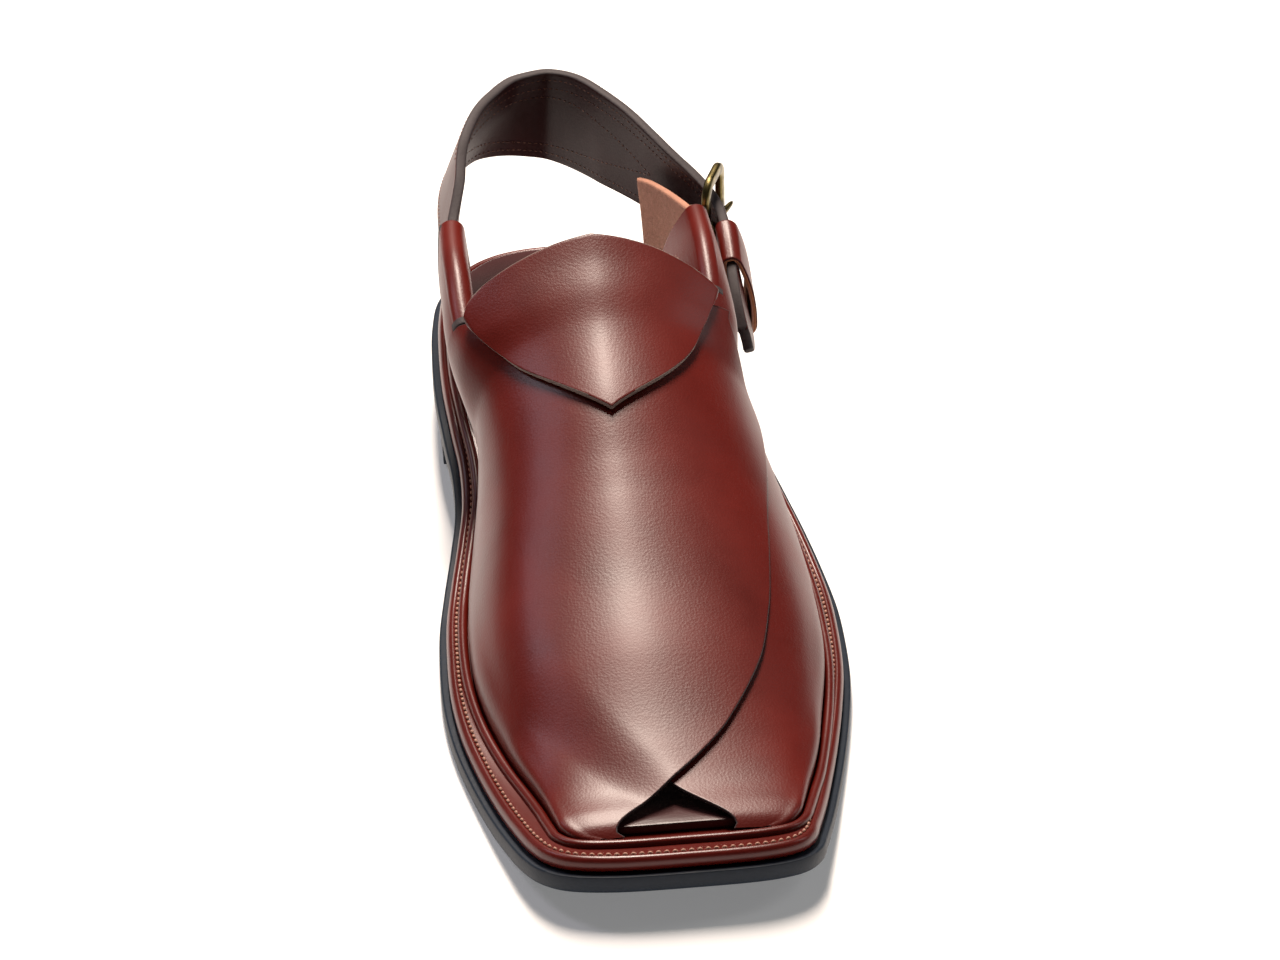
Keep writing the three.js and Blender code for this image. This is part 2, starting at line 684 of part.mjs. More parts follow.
// A row of a band from a row of its table. lean moves the bottom edge outwards.
function bandRow(row, before, after) {
  const heading = new THREE.Vector2(
    (after.side - before.side) * ballWidth,
    (after.at - before.at) * soleLength,
  ).normalize();
  const outward = new THREE.Vector2(heading.y, -heading.x);
  const centre = new THREE.Vector2(row.side * ballWidth, row.at * soleLength);
  const shift = row.lean * strapHeight * 0.5;
  const slope = (after.top - before.top) * strapHeight
    / Math.hypot((after.side - before.side) * ballWidth, (after.at - before.at) * soleLength);
  const tall = (row.top - row.bottom) * strapHeight;
  const rake = 0.5 * tall * slope;
  const at = (sign, height) => place(
    centre.y + sign * (outward.y * shift - heading.y * rake),
    centre.x + sign * (outward.x * shift - heading.x * rake),
    height,
  );
  return { top: at(-1, row.top * strapHeight), bottom: at(1, row.bottom * strapHeight) };
}

// Extra rows between a table's rows, read from it on smooth curves
function fineRows(rows, steps) {
  const indexed = rows.map((row, i) => ({ ...row, index: i }));
  const count = (rows.length - 1) * steps;
  return Array.from({ length: count + 1 }, (_, i) => {
    const index = i / steps;
    const column = (name) => read(indexed, "index", name, index);
    return {
      side: column("side"),
      at: column("at"),
      top: column("top"),
      bottom: column("bottom"),
      lean: column("lean"),
    };
  });
}

function bandRows(rows, steps) {
  const fine = fineRows(rows, steps);
  return fine.map((row, i) => bandRow(
    row,
    fine[Math.max(0, i - 1)],
    fine[Math.min(fine.length - 1, i + 1)],
  ));
}

// The stretch of a band that a loop holds, upright and narrower towards its end
function heldRows(shape, count, tall, end) {
  return Array.from({ length: count }, (_, i) => {
    const t = i / (count - 1);
    const along = mix(shape.to - 0.02, shape.from, t) * soleLength;
    const { centre } = foldAt(along, shape);
    const top = centre.clone();
    top.z += shape.held / 2 - gap;
    const bottom = top.clone();
    bottom.z -= mix(end, tall, t);
    return { top, bottom };
  });
}

function heelStrap() {
  const inLoop = heldRows(medialLoop, 5, 20, 12);
  const behind = bandRows(strapTable, 2);
  const tip = behind[behind.length - 1];
  const before = behind[behind.length - 2];
  const step = new THREE.Vector3().subVectors(tip.top, before.top).normalize();
  const tail = [
    { reach: 5, inset: 0.06 },
    { reach: 8, inset: 0.17 },
    { reach: 10.5, inset: 0.33 },
  ].map(({ reach, inset }) => ({
    top: tip.top.clone().lerp(tip.bottom, inset).addScaledVector(step, reach),
    bottom: tip.bottom.clone().lerp(tip.top, inset).addScaledVector(step, reach),
  }));
  const whole = band([...inLoop, ...behind, ...tail], strapThickness);
  return toGeometry(toSolid(whole).subtract(toSolid(prongSlot())));
}

function guardFlap() {
  const inLoop = heldRows(lateralLoop, 5, 20, 12);
  return band([...inLoop, ...bandRows(guardTable, 2)], guardThickness);
}

// The buckle's own axes: from the hinge bar to the far bar, and down along the bars
function buckleAxes() {
  const middle = (bar) => place(bar.at * soleLength, bar.side * ballWidth, bar.middle * strapHeight);
  const hinge = middle(hingeBar);
  const far = middle(farBar);
  const along = new THREE.Vector3().subVectors(far, hinge).normalize();
  const plumb = new THREE.Vector3(0, 0, -1);
  const down = plumb.addScaledVector(along, -plumb.dot(along)).normalize();
  const out = new THREE.Vector3().crossVectors(down, along).normalize();
  return { hinge, far, along, down, out };
}

// A ring swept round a closed path of points, with a round section
function sweptRing(path, radius, sides) {
  const normal = path.plane;
  return loft(path.points.map((point, i) => {
    const before = path.points[(i + path.points.length - 1) % path.points.length];
    const after = path.points[(i + 1) % path.points.length];
    const heading = new THREE.Vector3().subVectors(after, before).normalize();
    const side = new THREE.Vector3().crossVectors(heading, normal).normalize();
    return Array.from({ length: sides }, (_, k) => {
      const a = (2 * Math.PI * k) / sides;
      return point.clone()
        .addScaledVector(side, radius * Math.cos(a))
        .addScaledVector(normal, radius * Math.sin(a));
    });
  }), true);
}

function buckleFrame() {
  const { hinge, far, along, down, out } = buckleAxes();
  const half = frameHeight / 2 - barThickness / 2;
  const points = [];
  const corner = (bar, inward, sign, from) => {
    const centre = bar.clone()
      .addScaledVector(along, inward * frameCorner)
      .addScaledVector(down, sign * (half - frameCorner));
    for (let k = 0; k <= 4; k += 1) {
      const a = ((from + (90 * k) / 4) * Math.PI) / 180;
      points.push(centre.clone()
        .addScaledVector(along, frameCorner * Math.cos(a))
        .addScaledVector(down, frameCorner * Math.sin(a)));
    }
  };
  corner(far, -1, 1, 0);
  corner(hinge, 1, 1, 90);
  corner(hinge, 1, -1, 180);
  corner(far, -1, -1, 270);
  return sweptRing({ points, plane: out }, barThickness / 2, 8);
}

// The prong: an eye round the hinge bar and a rod to the far bar, on its outer face
function prongLine() {
  const { hinge, far, along, out } = buckleAxes();
  const rest = (barThickness + prongThickness) / 2 + 2 * gap;
  const end = far.clone().addScaledVector(out, rest).addScaledVector(along, prongReach);
  const eyeRadius = barThickness / 2 + gap + prongEye / 2;
  const towards = new THREE.Vector3().subVectors(end, hinge).normalize();
  const start = hinge.clone().addScaledVector(towards, eyeRadius);
  return { start, end, eyeRadius };
}

function rod(from, to, radius, sides = 10) {
  const geometry = new THREE.CylinderGeometry(radius, radius, from.distanceTo(to), sides);
  const up = new THREE.Vector3(0, 1, 0);
  const heading = new THREE.Vector3().subVectors(to, from).normalize();
  geometry.applyQuaternion(new THREE.Quaternion().setFromUnitVectors(up, heading));
  const middle = from.clone().lerp(to, 0.5);
  return geometry.translate(middle.x, middle.y, middle.z);
}

function buckleProng() {
  const { hinge, along, down, out } = buckleAxes();
  const { start, end, eyeRadius } = prongLine();
  const points = Array.from({ length: 14 }, (_, i) => {
    const a = (2 * Math.PI * i) / 14;
    return hinge.clone()
      .addScaledVector(along, eyeRadius * Math.cos(a))
      .addScaledVector(out, eyeRadius * Math.sin(a));
  });
  const eye = sweptRing({ points, plane: down }, prongEye / 2, 8);
  return join([eye, rod(start, end, prongThickness / 2)]);
}

// The slot in the strap that the prong passes through
function prongSlot() {
  const { start, end } = prongLine();
  const from = start.clone().lerp(end, -0.6);
  const to = end.clone().lerp(start, -0.4);
  return rod(from, to, prongThickness / 2 + gap, 12);
}

// The keeper: a leather ring round the strap's tail, following its rows
function keeper() {
  const fine = bandRows(strapTable, 3);
  const start = fine.findIndex((row) => (
    middleOf(row).x > 0 && heelCentre - middleOf(row).y > keeperFrom * soleLength));
  const end = fine.findIndex((row, i) => (
    i > start && middleOf(row).distanceTo(middleOf(fine[start])) > keeperWidth - 1));
  const corner = 1.2;
  const ring = (i, extra) => {
    const row = fine[i];
    const heading = new THREE.Vector3()
      .subVectors(middleOf(fine[i + 1]), middleOf(fine[i - 1])).normalize();
    const down = new THREE.Vector3().subVectors(row.bottom, row.top);
    const tall = down.length() / 2 + gap + extra;
    down.normalize();
    const out = new THREE.Vector3().crossVectors(heading, down).normalize();
    const deep = strapThickness / 2 + gap + extra;
    const radius = corner + extra;
    return Array.from({ length: 20 }, (_, k) => {
      const angle = (2 * Math.PI * (k + 0.5)) / 20;
      const cos = Math.cos(angle);
      const sin = Math.sin(angle);
      return middleOf(row)
        .addScaledVector(down, (tall - radius) * Math.sign(cos) + radius * cos)
        .addScaledVector(out, (deep - radius) * Math.sign(sin) + radius * sin);
    });
  };
  const loops = [];
  for (let i = start; i <= end; i += 1) loops.push(ring(i, 0));
  for (let i = end; i >= start; i -= 1) loops.push(ring(i, keeperThickness));
  return loft(loops, true);
}

function part(name, geometry, color, roughness, metalness = 0) {
  const material = new THREE.MeshStandardMaterial({ color, roughness, metalness });
  const mesh = new THREE.Mesh(geometry, material);
  mesh.name = name;
  return mesh;
}

const chappal = new THREE.Group();
chappal.add(
  part("outsole", outsole(), 0x20262a, 0.6),
  part("heel", heel(), 0x1b1e20, 0.6),
  part("welt", welt(), 0x6b1f14, 0.35),
  part("insole", insole(), 0x3a2420, 0.5),
  part("upper", upper(), 0x7a2114, 0.32),
  part("instep_tongue", instepTongue(), 0x7c2416, 0.32),
  part("heel_strap", heelStrap(), 0x5c2018, 0.4),
  part("guard_flap", guardFlap(), 0xb07a58, 0.7),
  part("buckle_frame", buckleFrame(), 0x7a6a3a, 0.35, 1),
  part("buckle_prong", buckleProng(), 0x8a7842, 0.35, 1),
  part("keeper", keeper(), 0x7a2416, 0.35),
);

export default chappal;
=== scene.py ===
"""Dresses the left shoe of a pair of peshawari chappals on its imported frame.

Every surface is worked out in metres, in the frame's own axes: the floor is z = 0, the
heel's tread is centred under x = 0, y = 0, the toe points to -y and the outer side to +x.
"""

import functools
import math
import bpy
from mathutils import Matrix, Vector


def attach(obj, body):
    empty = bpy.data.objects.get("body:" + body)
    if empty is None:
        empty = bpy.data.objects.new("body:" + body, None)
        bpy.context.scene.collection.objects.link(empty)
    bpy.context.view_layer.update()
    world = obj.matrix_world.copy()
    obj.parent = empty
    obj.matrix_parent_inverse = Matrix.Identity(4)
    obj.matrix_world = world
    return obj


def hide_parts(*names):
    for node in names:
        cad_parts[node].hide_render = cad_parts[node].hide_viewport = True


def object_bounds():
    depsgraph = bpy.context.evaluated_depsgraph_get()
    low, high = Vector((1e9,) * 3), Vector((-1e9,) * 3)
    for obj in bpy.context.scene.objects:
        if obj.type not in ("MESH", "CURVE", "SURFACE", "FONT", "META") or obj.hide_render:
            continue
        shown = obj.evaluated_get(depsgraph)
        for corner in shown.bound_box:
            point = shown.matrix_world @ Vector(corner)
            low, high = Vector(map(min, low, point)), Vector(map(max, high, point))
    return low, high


bl_info = {
    "name": "Peshawari chappal",
    "version": (1, 0, 0),
    "blender": (4, 5, 0),
    "location": "3D View > Sidebar > Chappal",
    "description": "Builds the leather, sole, strap, buckle and stitching of one left shoe",
    "category": "Add Mesh",
}

import bmesh
import bpy
import numpy as np
from mathutils import Vector

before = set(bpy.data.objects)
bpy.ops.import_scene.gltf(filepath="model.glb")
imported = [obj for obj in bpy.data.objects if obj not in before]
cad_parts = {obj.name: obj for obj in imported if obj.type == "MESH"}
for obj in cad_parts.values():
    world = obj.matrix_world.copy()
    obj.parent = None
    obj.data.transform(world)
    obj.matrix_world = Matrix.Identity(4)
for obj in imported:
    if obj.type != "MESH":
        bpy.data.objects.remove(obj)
CAD_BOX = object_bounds()
MM = 0.001
BODY = "root"


# Tables of the shoe's form, with named columns
def table(columns, rows):
    """Rows with named columns, turned into one array for each column."""
    return dict(zip(columns.split(), np.array(rows, dtype=float).T))


# Outlines of the outsole and of the last: shares of the sole's length from the heel end,
# and shares of the ball width on each side of the axis.
OUTLINE = table("at medial lateral last_at last_medial last_lateral", [
    (0.0034, 0.08, 0.131, 0.0262, 0.055, 0.109),
    (0.0138, 0.164, 0.215, 0.0345, 0.132, 0.184),
    (0.0345, 0.243, 0.294, 0.0493, 0.191, 0.242),
    (0.069, 0.305, 0.356, 0.0759, 0.244, 0.295),
    (0.121, 0.336, 0.386, 0.124, 0.269, 0.32),
    (0.193, 0.354, 0.398, 0.193, 0.287, 0.331),
    (0.265, 0.361, 0.412, 0.265, 0.294, 0.345),
    (0.328, 0.356, 0.434, 0.328, 0.287, 0.365),
    (0.376, 0.348, 0.462, 0.376, 0.277, 0.392),
    (0.42, 0.354, 0.493, 0.42, 0.28, 0.422),
    (0.466, 0.378, 0.524, 0.466, 0.305, 0.453),
    (0.514, 0.406, 0.548, 0.514, 0.332, 0.475),
    (0.566, 0.431, 0.562, 0.566, 0.356, 0.486),
    (0.628, 0.446, 0.559, 0.628, 0.371, 0.484),
    (0.69, 0.452, 0.545, 0.69, 0.372, 0.473),
    (0.748, 0.443, 0.517, 0.748, 0.356, 0.449),
    (0.807, 0.419, 0.481, 0.803, 0.325, 0.418),
    (0.869, 0.386, 0.438, 0.859, 0.284, 0.381),
    (0.903, 0.364, 0.413, 0.891, 0.263, 0.354),
    (0.941, 0.335, 0.382, 0.921, 0.248, 0.329),
    (0.966, 0.303, 0.359, 0.938, 0.237, 0.312),
    (0.985, 0.25, 0.318, 0.951, 0.205, 0.282),
    (0.9965, 0.15, 0.24, 0.9572, 0.127, 0.218),
])
HEEL_END = {"at": 0.0, "middle": 0.026, "last_at": 0.0245, "last_middle": 0.027}
TOE_END = {"at": 1.0, "middle": 0.045, "last_at": 0.9586, "last_middle": 0.045}

# Sections of the last: rise is a share of the instep's rise, the rest but the exponent
# peak are shares of the ball width.
LAST = table("at rise crown peak medial_swell lateral_swell", [
    (0.2, 1.15, 0.027, 1, 0.113, 0.1),
    (0.3, 1.06, 0.03, 1, 0.13, 0.098),
    (0.365, 0.955, 0.032, 1, 0.142, 0.085),
    (0.4, 0.92, 0.032, 1, 0.11, 0.04),
    (0.431, 0.885, 0.03, 1.03, 0.06, 0.01),
    (0.517, 0.83, 0.028, 1.1, 0.012, 0),
    (0.603, 0.672, 0.03, 1.05, 0, 0),
    (0.69, 0.505, 0.036, 1, 0, 0),
    (0.776, 0.36, 0.04, 1, 0, 0),
    (0.862, 0.185, 0.045, 0.95, 0, 0),
    (0.903, 0.105, 0.045, 0.9, 0, 0),
    (0.935, 0.06, 0.045, 0.9, 0, 0),
    (0.947, 0.036, 0.045, 0.9, 0, 0),
    (0.9555, 0, 0.045, 0.9, 0, 0),
])
TOE_AT = 0.9555

# Free edges of the two panels, in degrees turned over the foot from the inner side
FREE_EDGE = table("at top under", [
    (0.383, 133, 44), (0.4, 141, 42), (0.414, 146, 41), (0.448, 150, 40),
    (0.497, 145.5, 40), (0.576, 138, 42), (0.648, 134.5, 44), (0.714, 131.5, 47),
    (0.776, 126.5, 53), (0.841, 113, 66), (0.876, 100.5, 77), (0.907, 84, 89),
    (0.931, 66, 104), (0.9555, 44, 124),
])

# Back edges of the panels: share of the way over the foot, and place along the sole
TOP_BACK = table("over at", [
    (0, 0.421), (0.12, 0.366), (0.345, 0.366), (0.5, 0.415),
    (0.68, 0.432), (0.84, 0.405), (0.92, 0.386), (1, 0.376),
])
UNDER_BACK = table("over at", [
    (0, 0.421), (0.125, 0.358), (0.375, 0.358), (0.5, 0.42),
    (0.65, 0.447), (0.85, 0.43), (1, 0.4),
])

# Back edges of the side walls, in degrees turned up from the feather edge
WALL_BACK = table("at medial lateral", [
    (0.216, 38, 43), (0.234, 36.5, 42), (0.3, 30, 32), (0.366, 16, 16),
])

# The tongue's back and front edges by degrees turned over the foot, with a corner where
# the front comes to its point
TONGUE = table("turn back front corner", [
    (51, 0.38, 0.39, 0), (54, 0.371, 0.422, 0), (60, 0.362, 0.452, 0),
    (74, 0.35, 0.494, 0), (88, 0.345, 0.525, 1), (105, 0.352, 0.489, 0),
    (117, 0.363, 0.45, 0), (123, 0.37, 0.415, 0), (126, 0.374, 0.381, 0),
])

# The heel strap behind the loops, from the inner loop round the heel to the tail
STRAP = table("side at top bottom lean", [
    (-0.287, 0.187, 0.895, 0.66, 0.05), (-0.277, 0.146, 0.955, 0.69, 0.07),
    (-0.258, 0.11, 0.98, 0.715, 0.09), (-0.224, 0.076, 0.993, 0.722, 0.1),
    (-0.17, 0.048, 0.998, 0.722, 0.09), (-0.094, 0.027, 1, 0.7, 0.04),
    (0.004, 0.0205, 1, 0.675, 0), (0.08, 0.038, 0.998, 0.665, -0.02),
    (0.137, 0.063, 0.987, 0.658, -0.02), (0.2, 0.092, 0.967, 0.65, -0.01),
    (0.255, 0.12, 0.94, 0.64, 0), (0.31, 0.146, 0.905, 0.63, 0.01),
    (0.362, 0.17, 0.865, 0.61, 0.015), (0.402, 0.197, 0.825, 0.575, 0.02),
    (0.416, 0.224, 0.785, 0.555, 0.025), (0.42, 0.26, 0.745, 0.54, 0.035),
    (0.421, 0.3, 0.695, 0.505, 0.045),
])
TAIL = table("reach inset", [(5, 0.06), (8, 0.17), (10.5, 0.33)])

# The flesh-side tab under the buckle, from the outer loop backwards
GUARD = table("side at top bottom lean", [
    (0.318, 0.222, 0.815, 0.575, 0.03), (0.29, 0.196, 0.81, 0.55, 0.03),
    (0.255, 0.17, 0.805, 0.535, 0.035), (0.212, 0.147, 0.8, 0.535, 0.045),
    (0.184, 0.134, 0.79, 0.56, 0.05),
])

# The heel block from its tread up, in millimetres: inset, rake of its breast, height
HEEL_STEPS = np.array([
    (2.8, 4.6, 0.0), (2.3, 4.1, 0.3), (1.9, 3.3, 0.9), (1.55, 1.6, 8.0), (1.2, 0.0, 17.7)])

# The buckle's upright bars
HINGE_BAR = {"side": 0.3655, "at": 0.207, "middle": 0.713}
FAR_BAR = {"side": 0.418, "at": 0.162, "middle": 0.722}

# Fixed places along the sole, thicknesses and clearances
HEEL_CENTRE = 35 * MM
HEEL_BREAST = 78 * MM
ARCH_END = 165 * MM
SPRING_START = 225 * MM
OUTSOLE = 5.3 * MM
WELT = 4.4 * MM
RIDGE = 1.6 * MM
INSOLE = 2.5 * MM
SIDE_WALL = 4 * MM
STRAP_THICK = 3 * MM
GUARD_THICK = 2.4 * MM
TONGUE_THICK = 1.8 * MM
TONGUE_GAP = 0.8 * MM
KEEPER_THICK = 1.5 * MM
KEEPER_WIDE = 13 * MM
KEEPER_FROM = 0.235
BAR = 2.8 * MM
FLAT_BAR = 1.8 * MM
FRAME_TALL = 31 * MM
FRAME_CORNER = 4 * MM
PRONG = 2 * MM
PRONG_REACH = 2.5 * MM
GAP = 0.3 * MM
SOLE_GAP = 0.5 * MM
WELT_BOTTOM = OUTSOLE + SOLE_GAP
WELT_FLOOR = WELT_BOTTOM + WELT - 0.3 * MM
SEAT = WELT_FLOOR + SOLE_GAP

# The two loops: their ends along the sole, degrees turned at their front and rear ends,
# thickness of what they hold, and how far their flaps lean in for each unit down
MEDIAL_LOOP = {
    "medial": True, "start": 0.217, "end": 0.366, "front": 45.0, "rear": 39.0,
    "held": STRAP_THICK, "flare": 0.12,
}
LATERAL_LOOP = {
    "medial": False, "start": 0.232, "end": 0.358, "front": 50.0, "rear": 43.0,
    "held": GUARD_THICK, "flare": 0.62,
}

# Share of the way over the foot at which each panel goes on as a side wall
LOW_OVER = {"top": 0.12, "under": 0.125}

# Columns of a panel's grid: below its slit, as shares up its side wall, over a loop's
# fold, and where the flap's edge turns pale along that fold
LOW_COLUMNS = 8
WALL_SHARES = np.linspace(0, 1, 22)
FOLD_COLUMNS = 18
PALE_FROM = 14

# Sheets: the dark strip at an edge whose outer face takes the cut edge's colour, the first step
# of a grid, the strip that is skived, the flaps' lengths, a band's height where a loop holds it
# and at its end, and the share that the tab's slant takes off its lower edge
DARK_STRIP_WIDTH = 2.4 * MM
FINE_END = 0.7 * MM
PANEL_SKIVE = 7 * MM
D_FLAP = 20 * MM
EVEN_FLAP = 12 * MM
HELD_TALL = 20 * MM
HELD_END = 12 * MM
SLANT = 0.42

# Stitches: radius of the thread, distance of the strap's seams from its edges, shares of
# its rows between which they run, half length of the heel pad, height over the leather
WELT_THREAD = 0.42 * MM
FLAP_THREAD = 0.26 * MM
STRAP_THREAD = 0.22 * MM
BORDER = 2.6 * MM
SECOND_BORDER = 5.4 * MM
SEAM_FROM = 0.16
SEAM_TO = 0.83
PAD_REACH = 42 * MM
SEAM_LIFT = 0.02 * MM


def length_setting(name, description, default, low, high):
    """A length in metres that a user may change."""
    return bpy.props.FloatProperty(name=name, description=description, default=default,
                                   min=low, max=high, subtype="DISTANCE", unit="LENGTH")


def colour_setting(name, description, default):
    """A colour that a user may change."""
    return bpy.props.FloatVectorProperty(name=name, description=description, default=default,
                                         size=3, min=0.0, max=1.0, subtype="COLOR")


class ChappalSizes(bpy.types.PropertyGroup):
    """Sizes of the shoe and colours of its materials."""

    sole_length: length_setting("Sole length", "Length of the outsole", 0.290, 0.2, 0.35)
    ball_width: length_setting(
        "Ball width", "Width that the outlines are shares of", 0.110, 0.07, 0.14)
    heel_lift: length_setting(
        "Heel lift", "Height of the outsole above the floor at the heel", 0.018, 0.0, 0.04)
    toe_spring: length_setting(
        "Toe spring", "Height of the outsole above the floor at the toe", 0.009, 0.0, 0.02)
    instep_rise: length_setting(
        "Instep rise", "Height of the last over its feather edge", 0.059, 0.03, 0.09)
    leather: length_setting("Leather", "Thickness of the upper's leather", 0.002, 0.001, 0.003)
    strap_height: length_setting(
        "Strap height", "Height of the heel strap's top edge", 0.090, 0.05, 0.12)
    stitch: length_setting("Stitch", "Length of one stitch with its gap", 0.0021, 0.0015, 0.006)
    leather_colour: colour_setting(
        "Leather colour", "Grain side of the upper", (0.098, 0.0046, 0.0016))
    lining_colour: colour_setting(
        "Lining colour", "Lining of the strap and the footbed", (0.042, 0.0105, 0.0110))
    flesh_colour: colour_setting("Flesh colour", "Undyed flesh side", (0.66, 0.33, 0.23))
    edge_colour: colour_setting(
        "Edge colour", "Cut edge of the dyed panels", (0.036, 0.026, 0.028))
    sole_colour: colour_setting(
        "Sole colour", "Rubber of the outsole and heel", (0.006, 0.013, 0.025))
    thread_colour: colour_setting(
        "Thread colour", "Thread of the stitches", (0.21, 0.105, 0.075))
    brass_colour: colour_setting(
        "Brass colour", "Antique brass of the buckle", (0.15, 0.12, 0.05))


# Reading tables and curves
def smooth(t):
    """Ease from 0 to 1: three t squared less two t cubed."""
    c = np.clip(t, 0.0, 1.0)
    return c * c * (3 - 2 * c)


def mix(a, b, t):
    """Straight blend from a to b."""
    return a + (b - a) * t


def read(rows, key, column, place):
    """Cubic curve through a column's rows. Each slope is that of the line between the two
    neighbours, cut back so that no stretch overshoots, and one-sided at a corner row."""
    x = rows[key]
    y = rows[column]
    span = np.diff(x)
    rise = np.diff(y)
    slope = np.gradient(y)
    slope[1:-1] = (y[2:] - y[:-2]) / (x[2:] - x[:-2])
    slope[0] = rise[0] / span[0]
    slope[-1] = rise[-1] / span[-1]
    leaving = slope.copy()
    arriving = slope.copy()
    if "corner" in rows:
        for k in np.flatnonzero(rows["corner"] > 0):
            leaving[k] = rise[k] / span[k]
            arriving[k] = rise[k - 1] / span[k - 1]
    start, end = (
        np.where(steep * rise <= 0, 0, np.sign(rise) * np.minimum(
            np.abs(steep * span), 3 * np.abs(rise)))
        for steep in (leaving[:-1], arriving[1:]))
    place = np.asarray(place, dtype=float)
    i = np.clip(np.searchsorted(x, place, side="right") - 1, 0, len(x) - 2)
    t = np.clip((place - x[i]) / span[i], 0.0, 1.0)
    t2 = t * t
    t3 = t2 * t
    return (y[i] * (2 * t3 - 3 * t2 + 1) + start[i] * (t3 - 2 * t2 + t)
            + y[i + 1] * (3 * t2 - 2 * t3) + end[i] * (t3 - t2))


def rounded_path(points, steps, closed):
    """Centripetal curve through points: each stretch is a cubic whose end slopes come
    from the neighbouring points, weighed by the square roots of their distances."""
    points = np.asarray(points, dtype=float)
    count = len(points)
    if closed:
        i = np.arange(count)
        p0, p1, p2, p3 = (points[(i + k) % count] for k in (-1, 0, 1, 2))
    else:
        first = 2 * points[0] - points[1]
        last = 2 * points[-1] - points[-2]
        longer = np.vstack([first, points, last])
        i = np.arange(count - 1)
        p0, p1, p2, p3 = (longer[i + k] for k in range(4))
    root = [np.sqrt(np.linalg.norm(b - a, axis=1))[:, None]
            for a, b in ((p0, p1), (p1, p2), (p2, p3))]
    d0, d1, d2 = (np.maximum(r, 1e-6) for r in root)
    m1 = ((p1 - p0) / d0 - (p2 - p0) / (d0 + d1) + (p2 - p1) / d1) * d1
    m2 = ((p2 - p1) / d1 - (p3 - p1) / (d1 + d2) + (p3 - p2) / d2) * d1
    t = (np.arange(steps) / steps)[None, :, None]
    p1, p2, m1, m2 = (a[:, None, :] for a in (p1, p2, m1, m2))
    curve = (p1 * (2 * t ** 3 - 3 * t ** 2 + 1) + m1 * (t ** 3 - 2 * t ** 2 + t)
             + p2 * (3 * t ** 2 - 2 * t ** 3) + m2 * (t ** 3 - t ** 2))
    curve = curve.reshape(-1, points.shape[1])
    return curve if closed else np.vstack([curve, points[-1]])


def unit(v):
    """Vectors scaled to length 1."""
    return v / np.maximum(np.linalg.norm(v, axis=-1, keepdims=True), 1e-12)


def run_length(points, axis):
    """Distance along a grid from its first row (axis 0) or column (axis 1)."""
    step = np.linalg.norm(np.diff(points, axis=axis), axis=-1)
    start = np.zeros_like(np.take(step, [0], axis=axis))
    return np.concatenate([start, np.cumsum(step, axis=axis)], axis=axis)


def from_ends(points, axis):
    """Distance along a grid to the nearer of its two ends."""
    run = run_length(points, axis)
    return np.minimum(run, np.take(run, [-1], axis=axis) - run)


def with_fine_ends(count, near, low=True, high=True):
    """Even steps from 0 to 1 with three closer ones at each open end, near apart."""
    inner = np.linspace(0, 1, count)
    close = np.array([0.25, 0.55, 1.0]) * near
    extra = np.concatenate([close if low else [], 1 - close if high else []])
    return np.unique(np.round(np.concatenate([inner, extra]), 7))


# The shoe's own forms
def lift(s, along):
    """Height of the outsole's underside: the heel's lift eased down to the flat forefoot,
    then a parabola up to the toe."""
    arch = s.heel_lift * (1 - smooth((along - HEEL_BREAST) / (ARCH_END - HEEL_BREAST)))
    spring = np.maximum(0, (along - SPRING_START) / (s.sole_length - SPRING_START))
    return arch + s.toe_spring * spring ** 2


def place(along, side, height):
    """Points from their distance along the sole, their side and their height."""
    along, side, height = np.broadcast_arrays(along, side, height)
    return np.stack([side, HEEL_CENTRE - along, height], axis=-1)


RING_STEPS = 8


def plan_ring(s, which):
    """Closed outline in plan, (side, along), from the heel end up the inner side and back
    down the outer side."""
    pre = "last_" if which == "last" else ""
    at = OUTLINE[pre + "at"]
    up = np.stack([-OUTLINE[pre + "medial"], at], axis=1)
    down = np.stack([OUTLINE[pre + "lateral"], at], axis=1)[::-1]
    ends = [np.array([[end[pre + "middle"], end[pre + "at"]]]) for end in (HEEL_END, TOE_END)]
    points = np.vstack([ends[0], up, ends[1], down])
    return rounded_path(points * [s.ball_width, s.sole_length], RING_STEPS, True)


def heading_round(path):
    """Direction along a closed path at each of its points."""
    return unit(np.roll(path, -1, axis=0) - np.roll(path, 1, axis=0))


def inset_ring(ring, inset):
    """Moves an outline inwards along its normals, by one inset or one for each point."""
    heading = heading_round(ring)
    inward = np.stack([heading[:, 1], -heading[:, 0]], axis=1)
    return ring + inward * np.reshape(inset, (-1, 1))


def ring_at(s, ring, inset, height):
    """An outline at a height above the outsole's underside."""
    flat = inset_ring(ring, inset)
    return place(flat[:, 1], flat[:, 0], lift(s, flat[:, 1]) + height)


def two_sides(ring):
    """A closed outline's inner and outer side, each from the heel end to the toe."""
    half = len(ring) // 2
    return ring[:half + 1], np.vstack([ring[:1], ring[half:][::-1]])


